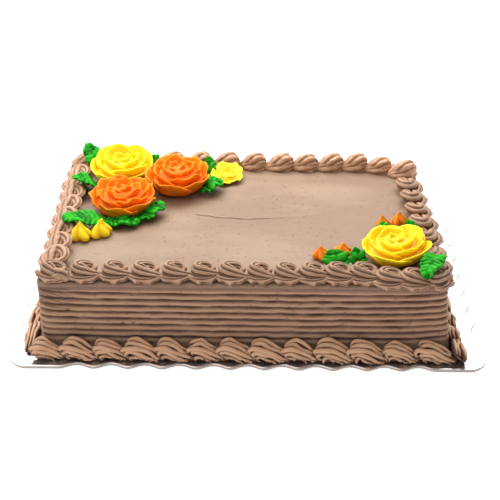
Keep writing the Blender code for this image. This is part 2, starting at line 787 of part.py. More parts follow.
def make_leaves(material):
    leaves = [
        ("leaf_back_corner", (-0.1320, 0.0735, 0.0075), (-0.1395, 0.084, 0.0222), 0.0140, 0.002),
        ("leaf_left_upper", (-0.1260, 0.040, 0.0042), (-0.1455, 0.034, 0.0180), 0.0150, 0.005),
        ("leaf_left_lower", (-0.1145, -0.0195, 0.0045), (-0.146, -0.030, 0.0152), 0.0160, 0.003),
        ("leaf_under_orange", (-0.109, -0.0232, 0.0035), (-0.0875, -0.0240, 0.0045), 0.0120, 0.001),
        ("leaf_right_of_orange", (-0.0800, -0.0105, 0.0032), (-0.0660, 0.0010, 0.0050), 0.0150, 0.002),
        ("leaf_between_roses", (-0.081, 0.070, 0.004), (-0.0805, 0.0800, 0.0145), 0.0090, 0.0),
        ("leaf_behind_blossom", (-0.0365, 0.066, 0.003), (-0.033, 0.0755, 0.014), 0.0100, 0.001),
        ("leaf_right_of_rose", (-0.0350, 0.0375, 0.0034), (-0.0195, 0.0430, 0.0048), 0.0170, 0.002),
        ("leaf_front_left", (0.0670, -0.0820, 0.0035), (0.0640, -0.0690, 0.0125), 0.0170, 0.001),
        ("leaf_front_middle", (0.0810, -0.0780, 0.004), (0.0796, -0.0690, 0.0140), 0.0100, 0.001),
        ("leaf_behind_front_rose", (0.104, -0.038, 0.003), (0.1045, -0.0265, 0.010), 0.0090, 0.001),
        ("leaf_right_edge", (0.1225, -0.0370, 0.003), (0.1270, -0.0250, 0.0135), 0.0110, 0.001),
        ("leaf_front_corner", (0.1405, -0.084, 0.0160), (0.1270, -0.112, 0.0130), 0.0155, 0.002),
    ]
    draw = random.Random(61)
    for name, root, tip, width, arch in leaves:
        grid = leaf_grid(root, tip, width, arch, 0.0009, draw.uniform(0, 6.28), LEAF_CELLS)
        shade_round(add_object(name, *sheet_solid(grid, LEAF_THICKNESS), material))


def main():
    clear_scene()
    icing = make_material("chocolate_icing", (0.32, 0.19, 0.13), 0.55)
    foil = make_material("foil_board", (0.80, 0.80, 0.82), 0.25, 1.0)
    make_board(foil)
    make_cake(icing)
    make_top_border(icing)
    make_base_border(icing)
    yellow = make_material("yellow_icing", (0.95, 0.62, 0.02), 0.4)
    orange = make_material("orange_icing", (0.90, 0.25, 0.02), 0.4)
    green = make_material("green_icing", (0.02, 0.30, 0.05), 0.35)
    make_flowers(yellow, orange)
    make_leaves(green)


main()
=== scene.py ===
# %% [markdown]
# A sheet cake with chocolate icing, piped borders, icing roses and leaves, on a scalloped foil board.
# The packed solids come in first as a fixed frame. Every finer piece below is laid over them, so a
# swirl or a petal goes where its solid is, at its real size in metres, with +Z up.

# %% Frame
import math
import random

import bpy
import numpy as np
from mathutils import Matrix, Vector


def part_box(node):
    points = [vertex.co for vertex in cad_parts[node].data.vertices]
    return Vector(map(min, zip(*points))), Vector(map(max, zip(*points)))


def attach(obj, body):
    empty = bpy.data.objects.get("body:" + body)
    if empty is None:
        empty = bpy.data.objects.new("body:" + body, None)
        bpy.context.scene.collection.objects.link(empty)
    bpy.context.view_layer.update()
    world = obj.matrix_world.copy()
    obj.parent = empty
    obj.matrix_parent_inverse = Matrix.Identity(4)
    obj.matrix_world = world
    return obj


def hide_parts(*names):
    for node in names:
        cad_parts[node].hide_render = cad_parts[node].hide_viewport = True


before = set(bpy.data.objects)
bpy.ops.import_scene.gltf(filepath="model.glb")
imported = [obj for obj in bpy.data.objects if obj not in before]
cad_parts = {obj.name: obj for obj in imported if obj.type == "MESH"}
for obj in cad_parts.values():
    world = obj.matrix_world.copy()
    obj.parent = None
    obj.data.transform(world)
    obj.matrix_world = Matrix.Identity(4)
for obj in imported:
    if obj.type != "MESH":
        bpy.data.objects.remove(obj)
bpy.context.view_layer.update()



def put(name, data):
    """A new object in the scene, made of a mesh, a light or a camera."""
    thing = bpy.data.objects.new(name, data)
    bpy.context.scene.collection.objects.link(thing)
    return thing


print("solids in the frame:", len(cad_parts))

# %% [markdown]
# A shader is a chain of small nodes. Wrapping a socket in a class lets the sums be written as plain
# Python: `1 - mask` or `grain * 0.3` adds the Math nodes by itself.

# %% Shader values
class Value:
    """A shader socket that takes part in Python sums."""

    def __init__(self, look, socket):
        self.look = look
        self.socket = socket

    def __add__(self, other):
        return self.look.math("ADD", self, other)

    def __sub__(self, other):
        return self.look.math("SUBTRACT", self, other)

    def __rsub__(self, other):
        return self.look.math("SUBTRACT", other, self)

    def __mul__(self, other):
        return self.look.math("MULTIPLY", self, other)

    __radd__ = __add__
    __rmul__ = __mul__


print("a shader value takes part in sums with +, - and *")

# %% [markdown]
# A look is one material. Its methods add the nodes that the looks below share: noise with its size in
# metres, smooth steps, the stored ridge height. Colours go through a Mix node, because a Math node
# would turn them grey.

# %% Looks
class Look:
    """One material. What is the same all over is set on the shader's own sockets."""

    def __init__(self, name, **fixed):
        self.material = bpy.data.materials.new(name)
        self.material.use_nodes = True
        self.tree = self.material.node_tree
        self.shader = self.tree.nodes["Principled BSDF"]
        for socket, value in fixed.items():
            self.shader.inputs[socket.replace("_", " ")].default_value = value

    def feed(self, socket, value):
        if isinstance(value, Value):
            self.tree.links.new(value.socket, socket)
        else:
            socket.default_value = value

    def add(self, kind, settings=(), sockets=(), outlet=0):
        """Any node: its type, its settings, which are set first, and its sockets' values or links."""
        node = self.tree.nodes.new(kind)
        for name, value in dict(settings).items():
            setattr(node, name, value)
        for name, value in dict(sockets).items():
            self.feed(node.inputs[name], value)
        return Value(self, node.outputs[outlet])

    def math(self, operation, first, second=0.0):
        return self.add("ShaderNodeMath", {"operation": operation}, {0: first, 1: second})

    def mix(self, share, low, high):
        """A colour between two colours."""
        low, high = (colour if isinstance(colour, Value) else (*colour, 1.0) for colour in (low, high))
        return self.add("ShaderNodeMix", {"data_type": "RGBA"}, {0: share, 6: low, 7: high}, outlet=2)

    def step(self, value, low, high):
        """0 at low, 1 at high, and a smooth rise between."""
        sockets = {"Value": value, "From Min": low, "From Max": high}
        return self.add("ShaderNodeMapRange", {"interpolation_type": "SMOOTHSTEP"}, sockets)

    def place(self, stretch=(1.0, 1.0, 1.0)):
        """Where a point is on the object, in metres; a larger stretch makes a finer pattern that way."""
        place = self.add("ShaderNodeTexCoord", outlet=3)
        return self.add("ShaderNodeVectorMath", {"operation": "MULTIPLY"}, {0: place, 1: stretch})

    def axes(self):
        """The same place as three numbers: x, y and z."""
        split = self.add("ShaderNodeSeparateXYZ", (), {0: self.place()})
        return [Value(self, outlet) for outlet in split.socket.node.outputs]

    def noise(self, size, detail=2.0, stretch=(1.0, 1.0, 1.0)):
        """Cloudy unevenness from 0 to 1, with lumps of about this size in metres."""
        sockets = {"Vector": self.place(stretch), "Scale": 1.0 / size, "Detail": detail}
        return self.add("ShaderNodeTexNoise", (), sockets)

    def crest(self):
        """What each mesh stores: 1 on a ridge or a rim, 0 deep in a groove."""
        return self.add("ShaderNodeAttribute", {"attribute_name": "crest"}, outlet=2)

    def finish(self, colour, roughness, relief, distance):
        """Feed what varies over the surface. The relief becomes a bump this many metres high."""
        self.feed(self.shader.inputs["Base Color"], colour)
        self.feed(self.shader.inputs["Roughness"], roughness)
        bump = self.add("ShaderNodeBump", (), {"Height": relief, "Distance": distance})
        self.feed(self.shader.inputs["Normal"], bump)
        print("look:", self.material.name)
        return self.material


print("a look can:", ", ".join(name for name in vars(Look) if not name.startswith("_")))

# %% [markdown]
# Chocolate buttercream is a soft pinkish brown. Its colour follows the stored ridge height as well as
# slow clouds: a painted highlight where the ridges catch the light, and painted shade, darker and
# warmer, in the grooves. Tiny air bubbles roughen it, and a little light spreads under its surface.
# One bowl of icing makes every border, but the light of the real room reaches some of them more than
# the studio lights here do, so the same look is made in a few strengths: paler copies, painted light.

# %% Chocolate icing
# The crest colour carries a painted highlight, the groove colour painted shade.
ICING_CREST = (0.400, 0.228, 0.134)
ICING_MIDDLE = (0.335, 0.178, 0.098)
ICING_GROOVE_SHADE = (0.095, 0.041, 0.021)
LIGHT_SPREAD = (0.0012, 0.0006, 0.0004)


def under_skin(weight, spread=LIGHT_SPREAD):
    """How much light goes in under the surface, and how far each colour of it spreads, in metres."""
    return {"Subsurface_Weight": weight, "Subsurface_Radius": spread, "Subsurface_Scale": 1.0}


def paler(colour, times):
    return tuple(times * level for level in colour)


def icing_colour(look, cloud, paleness):
    """Painted shade in the grooves, a painted highlight on the ridges, and the paler clouds of the icing's
    own tone.
    """
    crest = look.crest()
    middle, bright = paler(ICING_MIDDLE, paleness), paler(ICING_CREST, paleness)
    shade = look.step(crest, 0.05, 0.80)
    light = look.step(crest + (cloud - 0.5) * 0.6, 0.5, 1.15)
    return look.mix(light, look.mix(shade, ICING_GROOVE_SHADE, middle), bright)


def piped_icing(name, paleness):
    look = Look(name, **under_skin(0.12))
    cloud = look.noise(0.009, 3.0)
    grain = look.noise(0.0011, 4.0)
    bubbles = look.step(look.noise(0.0021, 1.0), 0.66, 0.78)
    relief = grain * 0.5 - bubbles * 0.5
    return look.finish(icing_colour(look, cloud, paleness), 0.50 + grain * 0.16, relief, 0.00035)


PIPED = piped_icing("piped chocolate icing", 0.93)
# Painted light: the paler strengths below stand in for more light reaching those borders.
PIPED_PAINTED_LIGHTER = piped_icing("piped chocolate icing painted lighter", 1.22)
PIPED_PAINTED_LIT_BACK = piped_icing("piped chocolate icing painted lit at the back", 1.45)
PIPED_PAINTED_LIT_FOOT = piped_icing("piped chocolate icing painted lit at the foot", 1.42)
PIPED_PAINTED_LIT_SIDE_FOOT = piped_icing("piped chocolate icing painted lit at the side foot", 1.70)

# %% [markdown]
# One thin crack runs across the smoothed top, with a darker smear on its near side. It could be cut
# into the mesh, but it is far thinner than the mesh's faces. So it is a mask for the material: a
# parabola, moved a little by noise, that is 1 on the line and 0 away from it.

# %% Crack in the top
CAKE_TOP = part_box("cake")[1][2]
CRACK_LOWEST = (0.0006, -0.0078)
CRACK_BEND = 3.4  # how fast the line rises to both sides of its lowest point, per metre


def crack_marks(look):
    """A thin wandering line across the top, and the soft darker smear on the near side of it."""
    x, y, z = look.axes()
    along = x - CRACK_LOWEST[0]
    wander = (look.noise(0.012, 3.0) - 0.5) * 0.005
    off = y - CRACK_LOWEST[1] - along * along * CRACK_BEND + wander
    line = 1 - look.step(look.math("ABSOLUTE", off), 0.0002, 0.0011)
    span = look.step(along, -0.046, -0.040) * (1 - look.step(along, -0.006, 0.045))
    near = 1 - look.step(off, -0.001, 0.001)
    fading = look.step(off + look.noise(0.030, 2.0) * 0.012, -0.022, 0.004)
    reach = look.step(along, -0.060, -0.015) * (1 - look.step(along, 0.050, 0.080))
    flat = look.step(z, CAKE_TOP - 0.003, CAKE_TOP - 0.001)
    return line * span * flat, near * fading * reach * flat


print("the top of the cake is at %.1f mm" % (1000 * CAKE_TOP))

# %% [markdown]
# The spread icing of the top and sides is the same buttercream, drawn out with a knife. A warm knife
# has smoothed the top, which shows broad, soft smears; its colour is painted paler and greyer than the
# sides, a painted sheen for the gleam of light on it. Faint strokes, dark specks and burst bubbles show
# on it. They are too shallow for the mesh, so they go into the colour and the bump.

# %% Spread icing
# Painted sheen: the top's skin colours are paler and greyer than the icing, standing in for the gleam of
# light on the top.
SHEENED_SKIN_LIGHT = (0.276, 0.175, 0.106)
SHEENED_SKIN_DARK = (0.203, 0.114, 0.063)
SIDE_PALENESS = 0.92


def top_skin_painted_sheen(look, cloud, stroke, smear):
    """The colour of the smoothed top, painted paler and greyer as a painted sheen, in soft patches."""
    patches = look.step(cloud, 0.34, 0.66) * 0.7 + stroke * 0.3
    return look.mix(patches * (1 - smear * 0.8), SHEENED_SKIN_DARK, SHEENED_SKIN_LIGHT)


def spread_icing():
    look = Look("spread chocolate icing", **under_skin(0.10))
    cloud = look.noise(0.040, 3.0, (0.5, 1.2, 1.0))
    stroke = look.noise(0.010, 3.0, (0.16, 1.0, 1.0))
    grain = look.noise(0.0013, 4.0)
    pores = look.step(look.noise(0.0030, 0.0), 0.74, 0.80)
    specks = look.step(look.noise(0.0024, 0.0), 0.79, 0.86)
    crack, smear = crack_marks(look)
    height = look.axes()[2]
    # The top takes the painted-sheen skin colour, the sides the combed colour.
    smoothed = look.step(height, CAKE_TOP - 0.002, CAKE_TOP - 0.0005)
    combed = icing_colour(look, cloud * 0.7 + stroke * 0.3, SIDE_PALENESS)
    colour = look.mix(smoothed, combed, top_skin_painted_sheen(look, cloud, stroke, smear))
    # Specks, burst bubbles and the crack line are darkened toward the groove colour: painted shade in these
    # small pits and in the crack.
    colour = look.mix(specks * 0.55 + pores * 0.20 + crack * 0.9, colour, ICING_GROOVE_SHADE)
    relief = stroke * 0.55 + grain * 0.34 - pores * 0.5 - specks * 0.6 - crack * 1.2
    return look.finish(colour, 0.44 + grain * 0.18 + stroke * 0.06, relief, 0.0007)


SPREAD = spread_icing()

# %% [markdown]
# Coloured buttercream is smoother and a little glossier. Where petals shade each other it takes a
# fold colour, painted shade: yellow turns toward orange, which keeps it warm and never olive, orange
# turns to a burnt red-orange, and green to a dark green.
# The green is deep, so it has little gleam: white reflections would wash its folds out to grey.

# %% Flower and leaf icing
YELLOW_RIM = (0.96, 0.765, 0.020)
YELLOW_FOLD_SHADE = (0.93, 0.52, 0.003)
ORANGE_RIM = (0.90, 0.262, 0.007)
ORANGE_FOLD_SHADE = (0.74, 0.150, 0.002)
GREEN_RIM = (0.026, 0.375, 0.018)
GREEN_FOLD_SHADE = (0.003, 0.085, 0.005)


def flower_icing(name, rim, fold, roughness, glow, gleam, deep=0.05):
    """Rim colour on the crests, and the fold colour, painted shade, below the height called deep."""
    look = Look(name, Specular_IOR_Level=gleam, **under_skin(glow, (0.0030, 0.0024, 0.0006)))
    cloud = look.noise(0.006, 3.0)
    grain = look.noise(0.0009, 3.0)
    share = look.step(look.crest() + (cloud - 0.5) * 0.45, deep, 0.92)
    relief = grain * 0.35 + look.noise(0.0035, 2.0) * 0.6
    return look.finish(look.mix(share, fold, rim), roughness + grain * 0.15, relief, 0.0004)


YELLOW = flower_icing("yellow icing", YELLOW_RIM, YELLOW_FOLD_SHADE, 0.42, 0.25, 0.2)
ORANGE = flower_icing("orange icing", ORANGE_RIM, ORANGE_FOLD_SHADE, 0.42, 0.15, 0.15)
GREEN = flower_icing("green icing", GREEN_RIM, GREEN_FOLD_SHADE, 0.30, 0.05, 0.03, 0.22)

# %% [markdown]
# The board is card wrapped in silver foil. The foil mirrors the cake with a faint crumple, and a thin
# grey-brown line of card shows under its rolled edge. A real crumple is a net of creases, but at this
# distance slow noise in the bump blurs the mirror image in the same way.

# %% Foil and card
FOIL_COLOUR = (0.86, 0.865, 0.885)
FOIL_EDGE = (0.46, 0.40, 0.36)
CARD_PALE = (0.42, 0.36, 0.30)
CARD_DARK = (0.24, 0.19, 0.15)


def foil():
    look = Look("silver foil", Metallic=1.0)
    crumple = look.noise(0.018, 3.0)
    grain = look.noise(0.0015, 2.0)
    colour = look.mix(look.crest(), FOIL_EDGE, FOIL_COLOUR)
    return look.finish(colour, 0.24 + grain * 0.12, crumple * 0.8 + grain * 0.08, 0.00025)


def card():
    look = Look("board card")
    fibre = look.noise(0.0012, 4.0, (0.3, 0.3, 2.0))
    return look.finish(look.mix(fibre, CARD_DARK, CARD_PALE), 0.85, fibre, 0.0003)


FOIL = foil()
CARD = card()

# %% [markdown]
# Every mesh is worked out as arrays of points, so a few small helpers for them come first. Hand-piped
# icing is never quite even: a sum of slanted sine waves moves the points a little, the same way on
# every run. A noise texture would do too, but a mesh can't read one without a modifier.

# %% Curves and unevenness
def unit(vectors):
    return vectors / np.maximum(np.linalg.norm(vectors, axis=-1, keepdims=True), 1e-12)


def ease(low, high, value):
    """0 below low, 1 above high, and a smooth step between."""
    t = np.clip((value - low) / (high - low), 0.0, 1.0)
    return t * t * (3 - 2 * t)


def unevenness(points, size, seed, waves=14):
    """Smooth lumps of about this size, mostly between -1 and 1."""
    draw = np.random.default_rng(seed)
    total = np.zeros(points.shape[:-1])
    for _ in range(waves):
        way = unit(draw.normal(size=3)) * draw.uniform(0.6, 1.6) * 2 * math.pi / size
        total += np.sin(points @ way + draw.uniform(0, 2 * math.pi))
    return total / math.sqrt(waves / 2) * 0.6


def ring_angles(sides):
    return np.linspace(0, 2 * math.pi, sides, endpoint=False)


def circle(angles):
    """The direction at each angle, as a row of x over a row of y."""
    return np.stack([np.cos(angles), np.sin(angles)])


def through(values, count):
    """More values on a smooth curve through a few."""
    values = np.asarray(values, float)
    padded = np.concatenate([[2 * values[0] - values[1]], values, [2 * values[-1] - values[-2]]])
    at = np.linspace(0, len(values) - 1, count)
    index = np.minimum(at.astype(int), len(values) - 2)
    t = (at - index).reshape(-1, *([1] * (values.ndim - 1)))
    a, b, c, d = (padded[index + shift] for shift in range(4))
    square, cube = 2 * a - 5 * b + 4 * c - d, 3 * b - a - 3 * c + d
    return 0.5 * (2 * b + (c - a) * t + square * t ** 2 + cube * t ** 3)


print("a curve through 0, 1, 0:", np.round(through([0, 1, 0], 5), 2))

# %% [markdown]
# Two kinds of closed skin are enough for the whole cake. A tube is a stack of rings with a tip at
# each end, and a sheet is a grid with a front, a back and a rim.

# %% Tubes and sheets
def tube_faces(rings, sides):
    """Quads between the rings, and a fan to the tip at each end."""
    level = np.arange(rings - 1)[:, None] * sides
    index = np.arange(sides)
    after = (index + 1) % sides
    quads = np.stack([level + index, level + after, level + sides + after, level + sides + index], axis=-1)
    first, last = rings * sides, rings * sides + 1
    top = (rings - 1) * sides
    pairs = list(zip(index.tolist(), after.tolist()))
    fans = [(right, left, first) for left, right in pairs]
    fans += [(top + left, top + right, last) for left, right in pairs]
    return [tuple(face) for face in quads.reshape(-1, 4).tolist()] + fans


def sheet_faces(rows, columns):
    """Quads of the front and the back of a grid, and round its rim between them."""
    half = rows * columns
    faces = []
    for row in range(rows - 1):
        for a in range(row * columns, row * columns + columns - 1):
            faces.append((a, a + columns, a + columns + 1, a + 1))
            faces.append((a + half, a + 1 + half, a + columns + 1 + half, a + columns + half))
    rim = [row * columns for row in range(rows)]
    rim += [(rows - 1) * columns + column for column in range(1, columns)]
    rim += [row * columns + columns - 1 for row in reversed(range(rows - 1))]
    rim += list(reversed(range(1, columns - 1)))
    for start, after in zip(rim, rim[1:] + rim[:1]):
        faces.append((after, start, start + half, after + half))
    return faces


print("a tube of 3 rings of 4 has", len(tube_faces(3, 4)), "faces")

# %% [markdown]
# One Shape gathers all the skins of a piece with their ridge heights, and then makes a single mesh of
# them. Joining many small objects would give the same piece, only more slowly.

# %% Shape of a piece
class Shape:
    """Points, faces and ridge heights of a piece, added one shell at a time."""

    def __init__(self):
        self.points = []
        self.faces = []
        self.crests = []
        self.count = 0

    def add(self, points, faces, crests):
        points = np.asarray(points, float).reshape(-1, 3)
        self.points.append(points)
        self.crests.append(np.broadcast_to(np.asarray(crests, float), len(points)))
        self.faces += [tuple(index + self.count for index in face) for face in faces]
        self.count += len(points)

    def tube(self, rings, tips, crests):
        """A stack of rings closed by two tips."""
        points = np.concatenate([rings.reshape(-1, 3), np.asarray(tips, float)])
        crests = np.append(crests.reshape(-1), [crests[0].mean(), crests[-1].mean()])
        self.add(points, tube_faces(*rings.shape[:2]), crests)

    def sheet(self, middle, thickness, crests):
        """A closed sheet about a grid of middle points."""
        normal = unit(np.cross(np.gradient(middle, axis=0), np.gradient(middle, axis=1)))
        offset = normal * np.asarray(thickness)[..., None] / 2
        points = np.concatenate([(middle + offset).reshape(-1, 3), (middle - offset).reshape(-1, 3)])
        self.add(points, sheet_faces(*middle.shape[:2]), np.concatenate([crests.reshape(-1)] * 2))

    def make(self, name, material, slot, nodes, smooth=0):
        """The finished piece: it rides with the cake and takes the place of its solids."""
        mesh = bpy.data.meshes.new(name)
        mesh.from_pydata(np.concatenate(self.points).tolist(), [], self.faces)
        crest = mesh.attributes.new("crest", "FLOAT", "POINT")
        crest.data.foreach_set("value", np.concatenate(self.crests).astype(np.float32))
        mesh.materials.append(material)
        mesh.shade_smooth()
        mesh.update()
        piece = put(name, mesh)
        if smooth:
            rounding = piece.modifiers.new("rounding", "SUBSURF")
            rounding.levels = rounding.render_levels = smooth
        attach(piece, "root")
        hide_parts(*nodes)
        print("%s: %d faces" % (name, len(self.faces) * 4 ** smooth))
        return piece


print("points of an empty shape:", Shape().count)

# %% [markdown]
# The camera comes first, because every later choice is judged through it. A long lens looks down on
# the front of the cake from about 30 degrees. The lens is worked out from the picture's width.

# %% Camera
PICTURE_SIZE = 500
LENS_IN_PIXELS = 1193.2
CAMERA_PLACE = (0.0029, -0.8409, 0.5287)
CAMERA_YAW = math.radians(0.14)
CAMERA_PITCH = math.radians(30.71)
CAMERA_ROLL = math.radians(0.45)


def make_camera():
    data = bpy.data.cameras.new("camera")
    data.sensor_width = 36.0
    data.lens = data.sensor_width * LENS_IN_PIXELS / PICTURE_SIZE
    camera = put("camera", data)
    turn = Matrix.Rotation(CAMERA_YAW, 4, "Z")
    tilt = Matrix.Rotation(math.pi / 2 - CAMERA_PITCH, 4, "X")
    roll = Matrix.Rotation(CAMERA_ROLL, 4, "Z")
    camera.matrix_world = Matrix.Translation(CAMERA_PLACE) @ turn @ tilt @ roll
    bpy.context.scene.camera = camera
    print("camera lens: %.1f mm" % data.lens)


make_camera()

# %% [markdown]
# The board's edge is a row of one-inch scallops along each side, with plain rounded corners. Eleven
# fit the long side and seven the short one. A cosine gives them their soft wave.

# %% Board outline
BOARD_HIGH = Vector(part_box("board")[1])
BOARD_TOP = BOARD_HIGH.z
BOARD_CORNER = 0.013
SCALLOP_PITCH = 0.0254
SCALLOP_COUNTS = (11, 7)
SCALLOP_DEPTH = 0.0045
SCALLOP_POINTS = 14
CORNER_POINTS = 10


def corner_ways(count):
    """Directions round a corner, from facing the front to facing the right."""
    angles = np.linspace(0, math.pi / 2, count + 2)[1:-1]
    return np.stack([np.sin(angles), -np.cos(angles)], axis=1)


def quarter_turns(points, quarter):
    """Points turned about Z by a number of right angles."""
    for _ in range(quarter):
        points = np.stack([-points[:, 1], points[:, 0]], axis=1)
    return points


def board_outline():
    halves = (BOARD_HIGH.x, BOARD_HIGH.y)
    parts = []
    for quarter in range(4):
        run, across = halves[quarter % 2], halves[1 - quarter % 2]
        count = SCALLOP_COUNTS[quarter % 2]
        reach = count * SCALLOP_PITCH / 2
        along = np.linspace(-reach, reach, count * SCALLOP_POINTS + 1)
        drawn_in = SCALLOP_DEPTH * (0.5 + 0.5 * np.cos(2 * math.pi * along / SCALLOP_PITCH))
        side = np.stack([along, drawn_in - across], axis=1)
        side = np.concatenate([[(BOARD_CORNER - run, -across)], side, [(run - BOARD_CORNER, -across)]])
        middle = np.array([run - BOARD_CORNER, BOARD_CORNER - across])
        corner = middle + BOARD_CORNER * corner_ways(CORNER_POINTS)
        parts.append(quarter_turns(np.concatenate([side, corner]), quarter))
    return np.concatenate(parts)


print("points round the board:", len(board_outline()))

# %% [markdown]
# The outline is taken through a few heights. At the bottom it is drawn in, so that bare card stands
# back under a rolled lip of foil, which catches a bright line of light. Inside the lip the foil sinks
# a little and then runs flat under the cake.

# %% Board
CARD_HEIGHT = 0.0018
CARD_INSET = 0.0014
BOARD_PROFILE = [
    # how far in from the outline, and how high: card, lip, then the flat foil
    (CARD_INSET + 0.0003, 0.0), (CARD_INSET, 0.0002), (CARD_INSET, CARD_HEIGHT),
    (0.0003, CARD_HEIGHT + 0.0001), (0.0, CARD_HEIGHT + 0.0003), (0.0, 0.0027), (0.0003, 0.0030),
    (0.0008, BOARD_TOP), (0.0024, BOARD_TOP), (0.0030, 0.0029), (0.0045, 0.0029)]


def paint_card(board):
    """Give the faces below the lip the look of card."""
    board.data.materials.append(CARD)
    for face in board.data.polygons:
        if max(board.data.vertices[index].co.z for index in face.vertices) < CARD_HEIGHT + 0.00005:
            face.material_index = 1


def make_board():
    outline = board_outline()
    sides = len(outline)
    along = unit(np.roll(outline, -1, axis=0) - np.roll(outline, 1, axis=0))
    inward = np.stack([-along[:, 1], along[:, 0]], axis=1)
    rings = [np.column_stack([outline + inward * inset, np.full(sides, z)]) for inset, z in BOARD_PROFILE]
    last = (len(rings) - 1) * sides
    faces = tube_faces(len(rings), sides)[:last]
    faces += [tuple(reversed(range(sides))), tuple(range(last, last + sides))]
    crests = np.repeat([1.0 if inset > 0.0006 else 0.0 for inset, _ in BOARD_PROFILE], sides)
    shape = Shape()
    shape.add(np.concatenate(rings), faces, crests)
    board = shape.make("cake_board", FOIL, "foil_board", ["board"])
    paint_card(board)
    board.data.set_sharp_from_angle(angle=math.radians(50))


make_board()

# %% [markdown]
# The cake is a rounded rectangle that leans out a little at its right-hand side, as soft cakes do.
# The front has the most columns of points, because it is seen closest and carries the most detail.

# %% Cake outline
CAKE_LENGTH = 0.301
CAKE_DEPTH = 0.202
CAKE_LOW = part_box("cake")[0][2]
CAKE_MIDDLE = (-0.005, -0.0062)
CAKE_CORNER = 0.007
CAKE_CORNER_POINTS = 10
SIDE_POINTS = (250, 74, 100, 74)  # front, right, back, left
RIGHT_FLARE = 0.0065
RIGHT_SKEW = 0.0025
HALF_LENGTH = CAKE_LENGTH / 2
HALF_DEPTH = CAKE_DEPTH / 2


def cake_place(x, y, z):
    """Place points of the plain block, with the lean and skew of the right-hand side."""
    side = np.maximum(x, 0.0) / HALF_LENGTH
    lean = RIGHT_FLARE * (1 - z / CAKE_TOP) + RIGHT_SKEW * (-y / HALF_DEPTH) - RIGHT_SKEW / 2
    return np.stack([x + lean * side ** 2 + CAKE_MIDDLE[0], y + CAKE_MIDDLE[1], z], axis=-1)


def cake_outline(inset):
    """A rounded rectangle and its outward directions, with the same number of points at any inset."""
    parts, ways = [], []
    radius = max(CAKE_CORNER - inset, 0.0006)
    round_way = corner_ways(CAKE_CORNER_POINTS)
    for quarter in range(4):
        run, across = (HALF_LENGTH, HALF_DEPTH) if quarter % 2 == 0 else (HALF_DEPTH, HALF_LENGTH)
        count = SIDE_POINTS[quarter]
        run, across = run - inset, across - inset
        along = np.linspace(radius - run, run - radius, count)
        corner = np.array([run - radius, radius - across]) + radius * round_way
        side = np.stack([along, np.full(count, -across)], axis=1)
        parts.append(quarter_turns(np.concatenate([side, corner]), quarter))
        way = np.concatenate([np.tile([0.0, -1.0], (count, 1)), round_way])
        ways.append(quarter_turns(way, quarter))
    return np.concatenate(parts), np.concatenate(ways)


print("points round the cake:", sum(SIDE_POINTS) + 4 * CAKE_CORNER_POINTS)

# %% [markdown]
# A toothed comb has drawn eight grooves round the sides. The depth it cut at a point is a sum: a
# narrow groove at each tooth, finer scratches where it was set down near the left corner, and pits
# where it tore the icing. The lines wander, and they lift toward the ends of the front and back.

# %% Comb grooves
GROOVE_PITCH = 0.0055
GROOVES = [0.0539 - GROOVE_PITCH * number for number in range(8)]
GROOVE_WIDTH = 0.00108
GROOVE_DEPTH = 0.0024
GROOVE_END_RISE = 0.003
RIDGE_BOW = 0.12
SCRATCH_PITCH = 0.00236
SCRATCH_STRENGTH = 0.75
NICK_STRENGTH = 0.7
# Nicks in the front: x, height, radius
NICKS = [(-0.0930, 0.0285, 0.0016), (-0.0850, 0.0290, 0.0018), (-0.0800, 0.0275, 0.0014),
         (0.0290, 0.0340, 0.0013), (0.1040, 0.0318, 0.0014), (0.1200, 0.0300, 0.0016),
         (0.0020, 0.0455, 0.0011), (-0.1330, 0.0400, 0.0014), (0.0600, 0.0185, 0.0012)]


def tooth_grooves(points, height):
    """The share of the full depth that the teeth have cut, by how high each point is on the comb."""
    depth = np.zeros(height.shape)
    for number, groove in enumerate(GROOVES):
        width = GROOVE_WIDTH * (1 + 0.22 * unevenness(points, 0.03, 20 + number))
        strength = 1 + 0.22 * unevenness(points, 0.02, 40 + number)
        depth = np.maximum(depth, strength * np.exp(-np.abs((height - groove) / width) ** 1.7))
    return depth


def corner_scratches(x, z, height):
    """Finer scratches that fan out upward by the left corner."""
    fan = height - 0.005 * ease(-0.128, -0.152, x) * ease(0.030, 0.058, z)
    zone = ease(-0.116, -0.140, x) * ease(0.0605, 0.0575, z) * ease(0.030, 0.045, z)
    wave = 0.5 + 0.5 * np.sin(2 * math.pi * (fan - GROOVES[-1]) / SCRATCH_PITCH)
    return SCRATCH_STRENGTH * zone * wave ** 2


def comb_depth(points):
    """How deep the comb has cut, in metres, and the share of the full depth."""
    x, y, z = points[..., 0], points[..., 1], points[..., 2]
    lift = GROOVE_END_RISE * np.clip(np.abs(x - CAKE_MIDDLE[0]) / HALF_LENGTH, 0, 1) ** 8
    sway = 0.00035 * unevenness(points * (1, 1, 0.4), 0.05, 3)
    sway = sway + 0.00015 * unevenness(points * (1, 1, 0.3), 0.012, 4)
    height = z - lift - sway
    depth = np.maximum(tooth_grooves(points, height), corner_scratches(x, z, height))
    bow = RIDGE_BOW * np.abs(np.sin(math.pi * (height - GROOVES[-1]) / GROOVE_PITCH))
    depth = depth + (RIDGE_BOW - bow) * ease(0.056, 0.052, z)
    front = ease(-HALF_DEPTH + CAKE_MIDDLE[1] + 0.003, -HALF_DEPTH + CAKE_MIDDLE[1], y)
    for nick_x, nick_z, size in NICKS:
        off = np.hypot((x - nick_x) * 0.7, z - nick_z) / size
        depth = depth + NICK_STRENGTH * front * np.exp(-off ** 2 * 3)
    return depth * GROOVE_DEPTH, np.clip(depth, 0, 1)


print("comb grooves at", [round(height * 1000, 1) for height in GROOVES])

# %% [markdown]
# The cake is one closed skin: rings up the combed sides, over a soft top edge and inward to the
# middle of the top. Sculpting it by hand would do, but a rule keeps the comb lines the same each time.

# %% Cake
SIDE_RING_STEP = 0.00070
TOP_ROUNDING = 0.0024
ROUNDING_RINGS = 8
TOP_RINGS = 34
